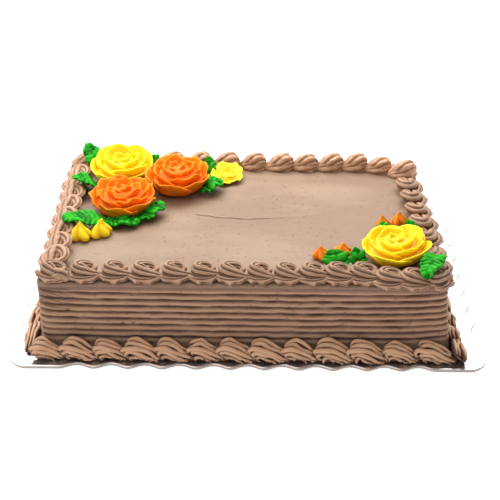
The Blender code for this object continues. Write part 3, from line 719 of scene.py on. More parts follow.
# The top has no ridges; this crest sets how dark its rounded edge is painted, a painted shade level for the
# light there.
TOP_CREST = 0.52


def side_rings():
    """Rings up the sides, set in where the comb has cut, and their ridge heights."""
    outline, ways = cake_outline(0.0)
    rings, crests = [], []
    for z in np.arange(CAKE_LOW, CAKE_TOP - TOP_ROUNDING, SIDE_RING_STEP):
        ring = cake_place(outline[:, 0], outline[:, 1], np.full(len(outline), z))
        depth, share = comb_depth(ring)
        bulge = 0.00035 * unevenness(ring, 0.045, 7) + 0.00010 * unevenness(ring, 0.006, 8)
        fade = ease(CAKE_LOW, CAKE_LOW + 0.003, z)
        ring[:, :2] -= ways * (depth - np.minimum(bulge, 0.0) * fade)[:, None]
        rings.append(ring)
        # Painted shade in the comb grooves, and the plain band under the top edge painted darker: a painted
        # shadow of the overhanging swirls.
        crests.append((1 - share) * (1 - 0.70 * ease(0.0555, 0.0585, z)))
    return rings, crests


def top_rings():
    """Rings over the rounded edge, and then smaller and smaller ones on the top."""
    flat = []
    for step in range(1, ROUNDING_RINGS + 1):
        angle = math.pi / 2 * step / ROUNDING_RINGS
        edge, _ = cake_outline(TOP_ROUNDING * (1 - math.cos(angle)))
        flat.append((edge, CAKE_TOP + TOP_ROUNDING * (math.sin(angle) - 1)))
    rim, _ = cake_outline(TOP_ROUNDING)
    flat += [(rim * (1 - share), CAKE_TOP) for share in np.linspace(0, 1, TOP_RINGS + 2)[1:-1]]
    return [cake_place(ring[:, 0], ring[:, 1], np.full(len(ring), z)) for ring, z in flat]


def make_cake():
    rings, crests = side_rings()
    inner_from = len(rings) + ROUNDING_RINGS
    top = top_rings()
    rings, crests = np.array(rings + top), np.array(crests + [np.full(len(top[0]), TOP_CREST)] * len(top))
    inner = np.zeros(len(rings))
    inner[inner_from:] = ease(0, 4, np.arange(len(rings) - inner_from))
    sway = 0.00045 * unevenness(rings, 0.075, 5)
    sway = sway + 0.00016 * unevenness(rings * (0.4, 1.0, 1.0), 0.018, 6)
    rings[..., 2] += np.minimum(sway, 0.0) * inner[:, None]
    tips = [(*CAKE_MIDDLE, CAKE_LOW), (*CAKE_MIDDLE, CAKE_TOP - 0.0002)]
    shape = Shape()
    shape.tube(rings, tips, crests)
    shape.make("iced_cake", SPREAD, "chocolate_icing", ["cake"])


make_cake()

# %% [markdown]
# Every border is made of ropes of icing from a star tip, so a rope's section is a ring of rounded
# ridges with sharp grooves between. Its path and its half widths are a few values, smoothed into
# many. A curve with a bevel shape would do, but it can't store how high each ridge stands.

# %% Piped rope
ROPE_LUMPS = [(0.055, 0.9), (0.022, 0.22)]  # how high and how wide, in shares of the half width


def rope_section(sides, ridges, depth, phase):
    """Reach and ridge height round the section: round ridges that meet in sharp grooves."""
    angles = ring_angles(sides)
    wave = np.abs(np.cos(ridges * (angles - phase) / 2))
    return angles, 1 - depth * (1 - wave ** 0.60), wave ** 1.1


def piped_rope(path, radii, grid, ridges, depth, twist, seed):
    """Rings of a ridged rope along a smoothed path, their ridge heights, and the two end tips.

    Grid is the number of rings and the points on each. The ridges fade in from the start.
    """
    count, sides = grid
    path, radii = through(path, count), through(radii, count)
    along = unit(np.gradient(path, axis=0))
    across = unit(np.cross(along, (0.0, 0.0, 1.0)))
    upward = np.cross(across, along)
    share = np.linspace(0, 1, count)
    ridging = 0.25 + 0.75 * ease(0.04, 0.30, share)
    rings, crests = [], []
    for level in range(count):
        phase = twist * (share[level] - 0.5) + 0.3
        angles, reach, crest = rope_section(sides, ridges, depth * ridging[level], phase)
        sideways = np.outer(reach * np.cos(angles), across[level])
        over = np.outer(reach * np.sin(angles), upward[level])
        rings.append(path[level] + radii[level] * (sideways + over))
        crests.append(1 - ridging[level] * (1 - crest))
    rings = np.array(rings)
    scale = radii.max()
    outward = unit(rings - path[:, None, :])
    rough = 0.0
    for number, (high, wide) in enumerate(ROPE_LUMPS):
        rough = rough + high * unevenness(rings, wide * scale, seed + number)
    rings = rings + outward * (rough * radii[:, None])[..., None]
    tips = np.array([path[0] - along[0] * radii[0] * 0.5, path[-1] + along[-1] * radii[-1] * 0.8])
    return rings, np.array(crests), tips


print("a rope's section reaches from %.2f to 1" % rope_section(46, 7, 0.40, 0.3)[1].min())

# %% [markdown]
# The borders repeat the solids' runs: the same lines, counts and seeded unevenness, so each fine
# swirl lies on its plain one. A swirl by a rose is pressed down, the front run steps out to pass the
# rose at the right, and the back run bends forward at its right-hand end.

# %% Border runs
TOP_LINE_INSET = 0.0105
TOP_LINE_LEFT = -0.1385
TOP_LINE_RIGHT_FRONT = 0.1445
TOP_LINE_RIGHT_BACK = 0.1385
CORNER_TURN = 0.95
PRESSED = 0.54
ROSE_RADIUS = 0.0268
ROSE_HEIGHT = 0.0195
ROSES = [
    # name, place, share of the usual radius and height, lean, ripple of the rims, seed
    ("rose_yellow_back", (-0.1075, 0.0605), 1.04, 1.14, (0.0, 0.20), 0.02, 31),
    ("rose_orange_left", (-0.1016, 0.0078), 1.04, 1.12, (0.0, 0.04), 0.06, 32),
    ("rose_orange_right", (-0.0600, 0.0440), 1.00, 1.22, (0.0, 0.06), 0.06, 33),
    ("rose_yellow_front", (0.1105, -0.0655), 0.98, 1.02, (0.13, 0.0), 0.03, 36),
]


def run_places(start, end, count, crowding):
    """Places along a run, closer together toward its end."""
    share = np.linspace(0, 1, count)
    share = share * (1 + crowding) - crowding * share * share
    return np.outer(1 - share, start) + np.outer(share, end)


def pressed_height(x, y):
    """How tall a swirl stands: less where a rose leans on it."""
    factor = 1.0
    for _, place, wide, *_ in ROSES:
        away = math.hypot(x - place[0], y - place[1]) / (ROSE_RADIUS * wide)
        factor = min(factor, PRESSED + (1 - PRESSED) * float(ease(1.06, 1.55, away)))
    return factor


def turned(points, origin, heading):
    """Points turned about Z to their heading and moved to their place on the run."""
    cosine, sine = math.cos(heading), math.sin(heading)
    x, y, z = (points[..., axis] for axis in range(3))
    return np.stack([x * cosine - y * sine, x * sine + y * cosine, z], axis=-1) + origin


def straight(x, y):
    return x, y


def front_bend(x, y):
    return x, y - 0.0065 * float(ease(0.096, 0.112, x))


def back_bend(x, y):
    past = max(0.0, (x - 0.095) / 0.045)
    return x, y - 0.0125 * past * past


print("roses that press on the border:", len(ROSES))

# %% [markdown]
# Each swirl is two ropes. The curl winds from its eye up round the inner side, over the left and down
# into a tail, and the skirt lies along the outer foot. On the back run each swirl is one leaning shell
# on a low foot. A few points for each rope are easier to fit to a photograph than a formula.

# %% Swirl ropes
SWIRL_CURL = [
    # x, y and height of the rope's middle, and its half width, in shares of the swirl's size
    (0.46, 0.02, 0.42, 0.12), (0.66, 0.16, 0.46, 0.18), (0.52, 0.42, 0.50, 0.21),
    (0.14, 0.48, 0.56, 0.28), (-0.28, 0.32, 0.58, 0.39), (-0.42, 0.04, 0.52, 0.48),
    (-0.12, -0.15, 0.45, 0.46), (0.36, -0.27, 0.37, 0.36), (0.86, -0.29, 0.28, 0.24),
    (1.26, -0.20, 0.18, 0.13)]
SWIRL_SKIRT = [
    (-1.02, -0.26, 0.30, 0.13), (-0.64, -0.58, 0.22, 0.19), (-0.06, -0.74, 0.18, 0.22),
    (0.50, -0.66, 0.21, 0.20), (0.98, -0.34, 0.30, 0.14)]
# A plug under the curls that stand over the cake's ends, where nothing else closes the eye
SWIRL_HEART = [
    (1.12, -0.20, 0.12, 0.22), (0.88, -0.20, 0.26, 0.40),
    (0.50, -0.24, 0.30, 0.50), (0.05, -0.10, 0.30, 0.40)]
LEANING_SHELL = [
    (1.05, 0.02, 0.22, 0.12), (0.62, 0.04, 0.40, 0.30), (0.18, 0.06, 0.56, 0.50),
    (-0.25, 0.06, 0.62, 0.62), (-0.60, 0.04, 0.52, 0.50), (-0.86, 0.02, 0.34, 0.24)]
LEANING_FOOT = [
    (1.08, 0.00, 0.10, 0.14), (0.62, 0.10, 0.14, 0.42), (0.12, 0.14, 0.16, 0.56),
    (-0.36, 0.12, 0.18, 0.60), (-0.72, 0.06, 0.16, 0.42), (-0.98, 0.02, 0.10, 0.20)]
# The ropes of a swirl: table, ridges, depth of the grooves, twist
ROUND_ROPES = [(SWIRL_CURL, 7, 0.40, 0.8), (SWIRL_SKIRT, 4, 0.50, 0.8)]
SIDE_ROPES = [(SWIRL_CURL, 5, 0.34, 0.8), (SWIRL_SKIRT, 4, 0.44, 0.8)]
LEANING_ROPES = [(LEANING_SHELL, 6, 0.30, 3.0), (LEANING_FOOT, 6, 0.30, 1.2)]
HEART_ROPE = (SWIRL_HEART, 5, 0.3, 0.4)
ROPE_GRID = (38, 46)
TOP_SWIRL_HEIGHT = 0.0125
TOP_SWIRL_RADIUS = 0.0118


def swirl_part(table, size):
    """A rope's path and half widths, from a table in shares of the swirl's size and height."""
    table = np.array(table)
    return table[:, :3] * (size, size, TOP_SWIRL_HEIGHT), table[:, 3] * size


print("points of a round swirl:", len(ROUND_ROPES) * (ROPE_GRID[0] * ROPE_GRID[1] + 2))

# %% [markdown]
# Each swirl's foot flares. Where it hangs past the cake's edge, the lowest ridge is torn into points
# and droops over the edge. On the top, what would sink in is flattened instead.

# %% Foot of a swirl
FRONT_PULL, USUAL_PULL = 0.42, 0.12
FOOT_DROOP = 0.0034


def torn_edge(rings, size, seed, pull):
    """Pull the outer low edge of a skirt into uneven points."""
    draw = np.random.default_rng(seed)
    share = np.linspace(0, 1, len(rings))
    wave = (share * draw.uniform(2.6, 3.4) + draw.uniform(0, 1)) % 1.0
    wave = np.where(wave < 0.7, wave / 0.7, (1 - wave) / 0.3)
    points = (wave ** 1.3 - 0.4) * size * pull * np.sin(math.pi * share)
    outer = ease(-0.50 * size, -0.95 * size, rings[..., 1]) * ease(0.0040, 0.0020, rings[..., 2])
    rings[..., 1] -= outer * points[:, None]
    return rings


def seat_on_cake(points):
    """Flatten what would sink into the top; past the cake's edge the foot may droop."""
    x, y = points[..., 0] - CAKE_MIDDLE[0], points[..., 1] - CAKE_MIDDLE[1]
    past = np.maximum(np.abs(x) - HALF_LENGTH, np.abs(y) - HALF_DEPTH)
    floor = CAKE_TOP - 0.0006 - FOOT_DROOP * ease(0.0, 0.0022, past)
    points[..., 2] = np.maximum(points[..., 2], floor)
    return points


print("a foot may droop %.1f mm past the edge" % (1000 * FOOT_DROOP))

# %% [markdown]
# A run is a loop over its swirls. Each one takes its own size, height and turn from a seeded draw, so
# no two are alike and every run of the script gives the same border. The whole run is one mesh.

# %% One run of swirls
OVERHANG = 0.012


def make_top_run(
        side, start, end, count, heading, seed, crowding=0.0, bend=straight, first_turn=0.0,
        last_turn=0.0, ropes=ROUND_ROPES, widen=1.0, icing=PIPED, groove_shade=1.0):
    draw = random.Random(seed)
    shape = Shape()
    origins = [bend(*place) for place in run_places(start, end, count, crowding)]
    origins = [cake_place(np.float64(x), np.float64(y), np.float64(CAKE_TOP)) for x, y in origins]
    turns = [first_turn] + [0.0] * (count - 2) + [last_turn]
    for number, origin in enumerate(origins):
        pressed = pressed_height(origin[0], origin[1])
        size = TOP_SWIRL_RADIUS * draw.uniform(0.94, 1.06) * (0.7 + 0.3 * pressed)
        height = pressed * draw.uniform(0.95, 1.05)
        tilt = heading + draw.uniform(-0.16, 0.16) + turns[number]
        overhangs = side == "front" and bool(abs(origin[0] - CAKE_MIDDLE[0]) > HALF_LENGTH - OVERHANG)
        for table, ridges, depth, twist in ropes + [HEART_ROPE] * overhangs:
            path, radii = swirl_part(table, size)
            swirl_seed = 100 * seed + number
            rings, crests, tips = piped_rope(path, radii, ROPE_GRID, ridges, depth, twist, swirl_seed)
            if table is SWIRL_SKIRT:
                rings = torn_edge(rings, size, swirl_seed, FRONT_PULL if side == "front" else USUAL_PULL)
            rings, tips = (turned(points * (1, 1, height), origin, tilt) for points in (rings, tips))
            for points in (rings, tips):
                points[..., 0] = origin[0] + (points[..., 0] - origin[0]) * widen
            shape.tube(seat_on_cake(rings), tips, 1 - groove_shade * (1 - crests))
    print("the %s run ends at %s" % (side, np.round(origin, 4)))
    shape.make("top_swirls_" + side, icing, "chocolate_icing", ["top_border_" + side])


print("a swirl overhangs within %.0f mm of the cake's end" % (1000 * OVERHANG))

# %% [markdown]
# The four runs differ in their lines, counts and ropes. Those along the ends are drawn a little wider,
# and the first and the last swirl of the front turn into the corners.

# %% Top border
SIDE_SHIFT = 0.0006
BACK_SHIFT = 0.0015
SIDE_WIDENING = 1.15
FIRST_TURN = -0.45


def make_top_border():
    line = HALF_DEPTH - TOP_LINE_INSET
    make_top_run(
        "front", (TOP_LINE_LEFT, -line), (TOP_LINE_RIGHT_FRONT - 0.002, -line), count=15, heading=0.0,
        seed=11, crowding=0.16, bend=front_bend, first_turn=FIRST_TURN, last_turn=CORNER_TURN)
    make_top_run(
        "back", (TOP_LINE_RIGHT_BACK, line - BACK_SHIFT), (TOP_LINE_LEFT + 0.0025, line), count=13,
        heading=math.pi, seed=12, crowding=-0.10, bend=back_bend, ropes=LEANING_ROPES,
        icing=PIPED_PAINTED_LIT_BACK, groove_shade=0.60)
    side_look = {"ropes": SIDE_ROPES, "widen": SIDE_WIDENING, "groove_shade": 0.8}
    make_top_run(
        "left", (TOP_LINE_LEFT - SIDE_SHIFT, 0.070), (TOP_LINE_LEFT - SIDE_SHIFT, -0.071), count=8,
        heading=-math.pi / 2, seed=13, icing=PIPED_PAINTED_LIGHTER, **side_look)
    make_top_run(
        "right", (TOP_LINE_RIGHT_FRONT + SIDE_SHIFT, -0.077), (TOP_LINE_RIGHT_BACK + SIDE_SHIFT, 0.050),
        count=7, heading=math.pi / 2, seed=14, **side_look)


make_top_border()

# %% [markdown]
# The base border is a row of slanted shells. Each curls up from a ragged hook at the outer foot to
# the wall and trails forward and out, under the next one. Its five ridges are separate thin strands
# over a plain body, so the gaps between them are real and catch shadow.

# %% Strands of a base shell
SHELL_LENGTH = 0.024
SHELL_HEIGHT = 0.0132
SHELL_BODY = [
    # along, down the slope, out from it, half width: in shares of the shell's length and height
    (-0.42, 0.16, -0.06, 0.20), (-0.26, 0.04, -0.08, 0.40), (0.00, 0.04, -0.08, 0.46),
    (0.32, 0.20, -0.10, 0.36), (0.70, 0.42, -0.12, 0.16)]
SHELL_STRANDS = [
    # the same for each ridge, from the one against the wall down to the hooks at the foot
    [(-0.42, -0.29, 0.02, 0.07), (-0.31, -0.49, 0.10, 0.13), (-0.09, -0.53, 0.14, 0.16),
     (0.14, -0.37, 0.12, 0.15), (0.36, -0.15, 0.08, 0.11), (0.58, 0.04, 0.00, 0.06)],
    [(-0.45, -0.06, 0.06, 0.07), (-0.34, -0.23, 0.22, 0.14), (-0.11, -0.26, 0.26, 0.17),
     (0.14, -0.11, 0.22, 0.15), (0.36, 0.09, 0.14, 0.12), (0.58, 0.26, 0.02, 0.06)],
    [(-0.42, 0.31, 0.04, 0.07), (-0.51, 0.20, 0.20, 0.12), (-0.43, 0.06, 0.32, 0.16),
     (-0.20, 0.02, 0.36, 0.18), (0.05, 0.12, 0.32, 0.16), (0.30, 0.30, 0.22, 0.14),
     (0.52, 0.44, 0.10, 0.10), (0.66, 0.48, 0.00, 0.05)],
    [(-0.31, 0.44, 0.06, 0.06), (-0.40, 0.34, 0.20, 0.11), (-0.27, 0.22, 0.30, 0.15),
     (-0.05, 0.30, 0.30, 0.15), (0.17, 0.44, 0.22, 0.13), (0.39, 0.57, 0.10, 0.09),
     (0.55, 0.63, 0.00, 0.05)],
    [(-0.20, 0.60, 0.00, 0.04), (-0.29, 0.51, 0.08, 0.09), (-0.16, 0.44, 0.16, 0.12),
     (0.02, 0.50, 0.12, 0.10), (0.20, 0.61, 0.04, 0.07), (0.33, 0.69, 0.00, 0.03)]]


def shell_part(table, size):
    """A strand's path and half widths; the slope runs from the wall down to the board."""
    along, down, out, half = np.array(table).T
    height = SHELL_HEIGHT * size
    y = -height / 2 - height * (down + out) * math.sqrt(0.5)
    z = height / 2 + height * (out - down) * math.sqrt(0.5)
    return np.stack([SHELL_LENGTH * size * along, y, z], axis=1), height * half


print("strands on a base shell:", len(SHELL_STRANDS))

# %% [markdown]
# A strand is painted pale where it faces out and dark where it dips between its neighbours: a painted
# highlight and painted shade. The body behind the strands is pressed flat toward the slope, and it is
# painted dark all over, as painted shade in the depth of the grooves.

# %% One base shell
SHELL_FLATNESS = 0.50
STRAND_GRID = (26, 13)
BODY_GRID = (20, 22)
BODY_SHADE_CREST = 0.1
STRAND_SHAKE = 0.0005


def outward_share(rings, path):
    """How far each point of a strand faces out from the slope, from -1 to 1."""
    away = unit(rings - through(path, len(rings))[:, None, :])
    return (away[..., 2] - away[..., 1]) * math.sqrt(0.5)


def flatten_shell(points):
    """Press a shell's body toward the slope."""
    out = (points[..., 2] - points[..., 1] - SHELL_HEIGHT) * math.sqrt(0.5)
    squeeze = (SHELL_FLATNESS - 1) * out * math.sqrt(0.5)
    points[..., 1] -= squeeze
    points[..., 2] += squeeze
    return points


def shell_skins(size, seed):
    """The body of a shell and then its strands: rings, ridge heights, tips and a seed for each."""
    for strand, table in enumerate([SHELL_BODY] + SHELL_STRANDS):
        path, radii = shell_part(table, size)
        path = path + STRAND_SHAKE * np.random.default_rng(seed + strand).normal(size=path.shape)
        grid = STRAND_GRID if strand else BODY_GRID
        rings, crests, tips = piped_rope(path, radii, grid, 2, 0.0, 0.0, seed + strand)
        # Painted highlight where a strand faces out, painted shade where it dips; the body is painted shade
        # all over.
        if strand:
            crests = ease(0.22, 0.96, outward_share(rings, path))
        else:
            rings, tips = flatten_shell(rings), flatten_shell(tips)
            crests = crests * BODY_SHADE_CREST
        yield rings, crests, tips, seed + strand


print("points of a base shell:", sum(rings.size // 3 + 2 for rings, _, _, _ in shell_skins(1.0, 0)))

# %% [markdown]
# The shells stand on the board against the cake. Their outer foot is ragged, because the icing tore
# as the tip was pulled away, and nothing may sink through the foil.

# %% One run of shells
RAGGED_FOOT = 0.0012


def seat_on_board(points, seed):
    """Keep the shells on the board, with torn, ragged points along their outer foot."""
    low = ease(0.005, 0.0015, points[..., 2] - BOARD_TOP)
    x, y = points[..., 0] - CAKE_MIDDLE[0], points[..., 1] - CAKE_MIDDLE[1]
    past_x, past_y = np.abs(x) > HALF_LENGTH, np.abs(y) > HALF_DEPTH
    outward = unit(np.stack([np.where(past_x, np.sign(x), 0.0), np.where(past_y, np.sign(y), 0.0)], axis=-1))
    ragged = RAGGED_FOOT * unevenness(points, 0.0030, seed) * low
    points[..., :2] += outward * ragged[..., None]
    points[..., 2] = np.maximum(points[..., 2], BOARD_TOP + 0.00005)
    return points


def make_base_run(side, start, end, count, heading, seed, icing, scale=1.0, last_turn=0.0):
    draw = random.Random(seed)
    shape = Shape()
    for number, (x, y) in enumerate(run_places(start, end, count, 0.0)):
        origin = cake_place(np.float64(x), np.float64(y), np.float64(0.0)) + (0.0, 0.0, BOARD_TOP)
        size = scale * draw.uniform(0.93, 1.07)
        tilt = heading + draw.uniform(-0.07, 0.07) + (last_turn if number == count - 1 else 0.0)
        for rings, crests, tips, strand_seed in shell_skins(size, 1000 * seed + 10 * number):
            rings, tips = (turned(points, origin, tilt) for points in (rings, tips))
            shape.tube(seat_on_board(rings, strand_seed), tips, crests)
    shape.make("base_shells_" + side, icing, "chocolate_icing", ["base_border_" + side])


print("the foot of a shell is ragged by about %.1f mm" % (1000 * RAGGED_FOOT))

# %% [markdown]
# The four runs go round the cake one after the other. The shells along its ends are a little smaller,
# and the right-hand run starts under the last shell of the front.

# %% Base border
SIDE_SHELL_SCALE = 0.94
RIGHT_RUN_INSET = 0.0030


def make_base_border():
    run, across = HALF_LENGTH, HALF_DEPTH
    make_base_run(
        "front", (-run + 0.0045, -across), (run - 0.0140, -across), count=13, heading=0.0, seed=21,
        icing=PIPED_PAINTED_LIT_FOOT)
    make_base_run(
        "back", (run - 0.003, across), (-run + 0.009, across), count=13, heading=math.pi, seed=22,
        icing=PIPED_PAINTED_LIT_FOOT, last_turn=CORNER_TURN / 2)
    side_look = {"icing": PIPED_PAINTED_LIT_SIDE_FOOT, "scale": SIDE_SHELL_SCALE}
    make_base_run(
        "left", (-run, across - 0.010), (-run, -across + 0.012), count=9, heading=-math.pi / 2,
        seed=23, **side_look)
    make_base_run(
        "right", (run - RIGHT_RUN_INSET, -across - 0.003), (run - RIGHT_RUN_INSET, across - 0.012),
        count=10, heading=math.pi / 2, seed=24, **side_look)


make_base_border()

# %% [markdown]
# A piped rose is built from ribbons of icing. Each petal is a bent grid that grows thinner toward its
# rim; one side tucks under its neighbour and the other lies over it. Buttercream cracks as it is
# pressed out, so a sum of sine waves notches the rim. Cloth would drape it, but icing stands stiff.

# %% Petals
PETAL_CELLS = (18, 8)
WHOLE_TURN = 6.28


def petal_grid(facing, span, foot, rim, tuck, droop, ripple, phase, ragged, seed):
    """Middle points of a petal, from side to side and from foot to rim, and how near the rim each is."""
    across = np.linspace(-1, 1, PETAL_CELLS[0] + 1)[:, None]
    up = np.linspace(0, 1, PETAL_CELLS[1] + 1)[None, :]
    reach = up * (1 - 0.40 * np.abs(across) ** 2.4)
    angle = facing + across * span / 2
    radius = foot[0] + (rim[0] - foot[0]) * reach ** 0.75 + tuck * across * (0.3 + 0.7 * reach)
    height = foot[1] + (rim[1] - foot[1]) * reach ** 1.25 - droop * reach ** 6
    height = height + ripple * reach ** 4 * np.sin(2.5 * math.pi * across + phase)
    draw = np.random.default_rng(seed)
    notches = np.zeros(across.shape)
    for wave in range(3, 12):
        notch = np.sin(wave * 2.2 * across + draw.uniform(0, WHOLE_TURN))
        notches = notches + notch * draw.uniform(0.2, 1.0) / 3
    radius = radius + ragged * notches * up ** 6
    height = height + 0.5 * ragged * np.roll(notches, 3, axis=0) * up ** 5
    return np.stack([radius * np.cos(angle), radius * np.sin(angle), height], axis=-1), reach


print("faces of a petal before rounding:", len(sheet_faces(PETAL_CELLS[0] + 1, PETAL_CELLS[1] + 1)))

# %% [markdown]
# The petals stand on a small cone. Wide outer petals lie almost flat, the next ones stand up like a
# bowl, and the last wrap the cone. A flower that leans is raised on one side and hardly lowered on
# the other, so that it stays on the cake.

# %% A flower
CORE_RINGS, CORE_SIDES = 24, 48
# The cone is painted dark: painted shade deep inside the flower.
CORE_CREST = 0.25
FRONT = -math.pi / 2
TUCK = 0.09
FACING_SWAY = 0.14
LAYER_TURN = 0.25
LOWERED = 0.3  # how far a leaning flower's low side goes down, as a share of how far the other goes up


def flower_core(profile):
    """The cone of icing that carries the petals."""
    profile = through(profile, CORE_RINGS)
    angles = ring_angles(CORE_SIDES)
    round_way = (1 + 0.05 * np.cos(3 * angles)) * circle(angles)
    rings = np.array([[*(radius * round_way), np.full(CORE_SIDES, z)] for radius, z in profile])
    tips = [(0, 0, profile[0][1]), (0, 0, profile[-1][1] + 0.0006)]
    return rings.transpose(0, 2, 1), tips, np.full((CORE_RINGS, CORE_SIDES), CORE_CREST)


def make_flower(name, place, radius, height, lean, layers, core, seed, material, slot, ripple, ragged):
    draw = random.Random(seed)
    shape = Shape()
    rings, tips, crests = flower_core(np.array(core) * (radius, height))
    spot = np.array([*place, CAKE_TOP])
    shape.tube(rings + spot, np.array(tips) + spot, crests)
    for number, (count, span, foot, rim, droop) in enumerate(layers):
        for index in range(count):
            facing = FRONT + math.pi * (2 * index + 1) / count
            facing = facing + draw.uniform(-FACING_SWAY, FACING_SWAY) + LAYER_TURN * (-1) ** number
            stretch = draw.uniform(0.94, 1.03)
            grid, reach = petal_grid(
                facing, math.radians(span) * draw.uniform(0.95, 1.1),
                (foot[0] * radius, foot[1] * height),
                (rim[0] * radius * stretch, rim[1] * height * draw.uniform(0.95, 1.04)),
                TUCK * radius, droop * height, ripple * height, draw.uniform(0, WHOLE_TURN),
                ragged, 1000 * seed + 10 * number + index)
            rise = grid[..., 0] * lean[0] + grid[..., 1] * lean[1]
            grid[..., 2] += np.where(rise < 0, LOWERED * rise, rise)
            thickness = radius * (0.098 - 0.052 * reach)
            # Petals are painted dark at the foot and light toward the rim: painted shade deep in the flower,
            # a painted highlight on the rims.
            shape.sheet(grid + spot, thickness, 0.10 + 0.90 * reach ** 2.5)
    shape.make("piped_" + name, material, slot, [name], smooth=1)


print("points of a flower's cone:", CORE_RINGS * CORE_SIDES + 2)

# %% [markdown]
# Four roses share one recipe, and the small blossom has a flatter one with wide petals. The orange
# icing was stiffer, so its rims are more ragged than the yellow ones.

# %% Roses
ROSE_LAYERS = [
    # petals, span in degrees, reach and height of the foot, and of the rim, droop of the rim
    (5, 106, (0.50, 0.06), (1.00, 0.70), 0.02),
    (4, 126, (0.38, 0.24), (0.80, 0.90), 0.02),
    (3, 146, (0.24, 0.42), (0.52, 1.00), 0.00),
    (2, 200, (0.06, 0.62), (0.22, 0.98), 0.0)]
ROSE_CORE = [
    # the cone's radius and height
    (0.56, 0.0), (0.78, 0.18), (0.80, 0.40), (0.64, 0.54),
    (0.58, 0.66), (0.40, 0.72), (0.32, 0.80), (0.10, 0.84)]
BLOSSOM = ("blossom_yellow", (-0.0188, 0.0612), 0.0138, 0.0132, (0.0, 0.34))
BLOSSOM_RIPPLE = 0.08
BLOSSOM_SEED = 41
BLOSSOM_LAYERS = [
    (5, 98, (0.26, 0.12), (1.04, 0.44), 0.08),
    (3, 130, (0.12, 0.24), (0.48, 0.50), 0.02)]
BLOSSOM_CORE = [(0.52, 0.0), (0.56, 0.22), (0.36, 0.36), (0.10, 0.44)]
RAGGED_YELLOW, RAGGED_ORANGE = 0.0006, 0.0020


def make_flowers():
    looks = {
        "yellow": (YELLOW, "yellow_icing", RAGGED_YELLOW),
        "orange": (ORANGE, "orange_icing", RAGGED_ORANGE)}
    for name, place, wide, tall, lean, ripple, seed in ROSES:
        material, slot, ragged = looks[name.split("_")[1]]
        make_flower(
            name, place, ROSE_RADIUS * wide, ROSE_HEIGHT * tall, lean,
            ROSE_LAYERS, ROSE_CORE, seed, material, slot, ripple, ragged)
    make_flower(
        *BLOSSOM, BLOSSOM_LAYERS, BLOSSOM_CORE, BLOSSOM_SEED,
        YELLOW, "yellow_icing", BLOSSOM_RIPPLE, RAGGED_YELLOW)


make_flowers()

# %% [markdown]
# Buds are single squeezes of icing pulled up to a point. A few lobes and a twist come from the
# opening of the tip, and the pull leans the point over. A lathed profile alone would look too even,
# so waves that turn with the height fold each ring of it.

# %% Buds
BUD_PROFILE = [(0.72, 0.0), (1.02, 0.10), (1.04, 0.30), (0.74, 0.52), (0.36, 0.72), (0.12, 0.92)]
BUD_RINGS, BUD_SIDES = 30, 60
BUD_LEAN = 0.30
BUD_SEED = 51
BUDS = [
    # name, place, radius, height
    ("bud_yellow_left", (-0.1302, -0.0405), 0.0078, 0.0150),
    ("bud_yellow_right", (-0.1160, -0.0350), 0.0076, 0.0140),
    ("bud_orange_front_left", (0.0552, -0.0670), 0.0058, 0.0100),
    ("bud_orange_front_right", (0.0710, -0.0600), 0.0060, 0.0090),
    ("bud_orange_back_left", (0.1060, -0.0195), 0.0054, 0.0110),
    ("bud_orange_back_right", (0.1190, -0.0145), 0.0056, 0.0115),
    ("bud_orange_small", (0.0813, -0.0825), 0.0026, 0.0070),
]


def make_bud(name, place, radius, height, seed):
    draw = random.Random(seed)
    phase, lean = draw.uniform(0, WHOLE_TURN), draw.uniform(0.7, 2.4)
    pull = BUD_LEAN * radius * np.array([math.cos(lean), math.sin(lean), 0.0])
    foot = np.array([*place, CAKE_TOP])
    angles = ring_angles(BUD_SIDES)
    rings, crests = [], []
    for share, level in through(BUD_PROFILE, BUD_RINGS):
        swing = 3 * angles + phase + 1.4 * level
        fold = np.abs(np.sin(2.5 * angles + 0.5 * phase + 2.2 * level))
        reach = radius * share * (1 + 0.12 * np.cos(swing) + 0.34 * (fold - 0.6))
        middle = foot + pull * level ** 2 + (0.0, 0.0, height * level)
        rings.append(middle + np.column_stack([*(reach * circle(angles)), 0 * angles]))
        # Painted shade in the folds and toward the foot of the bud, lighter up the point.
        crests.append(np.clip(0.10 + 0.4 * fold + 0.2 * level, 0, 1))
    shape = Shape()
    shape.tube(np.array(rings), [foot, foot + pull + (0.0, 0.0, height)], np.array(crests))
    material, slot = (YELLOW, "yellow_icing") if "yellow" in name else (ORANGE, "orange_icing")
    shape.make("piped_" + name, material, slot, [name])


for bud_number, bud in enumerate(BUDS):
    make_bud(*bud, BUD_SEED + bud_number)

# %% [markdown]
# A leaf tip squeezes a ribbon with a sunk middle and ruffled sides that ends in a pulled point. The
# ruffle grows toward the sides, and crimps run across it where the hand jerked the bag. All of this
# is sums of waves on one bent grid, so no leaf needs any modelling by hand.

# %% Leaf surface
LEAF_GRID = (37, 13)
LEAF_THICKNESS = 0.0022
LEAF_FULLNESS = 1.25
LEAF_CRIMP_PITCH = 0.0046
CRIMP_HEIGHT = 0.00075
RUFFLE_HEIGHT = 0.0013
MIDRIB_DEPTH = 0.0007
LEAF_CUP = 0.10  # how far the root's sides stand up, as a share of the width
LEAF_LUMP_HEIGHT, LEAF_LUMP_SIZE = 0.0005, 0.0055


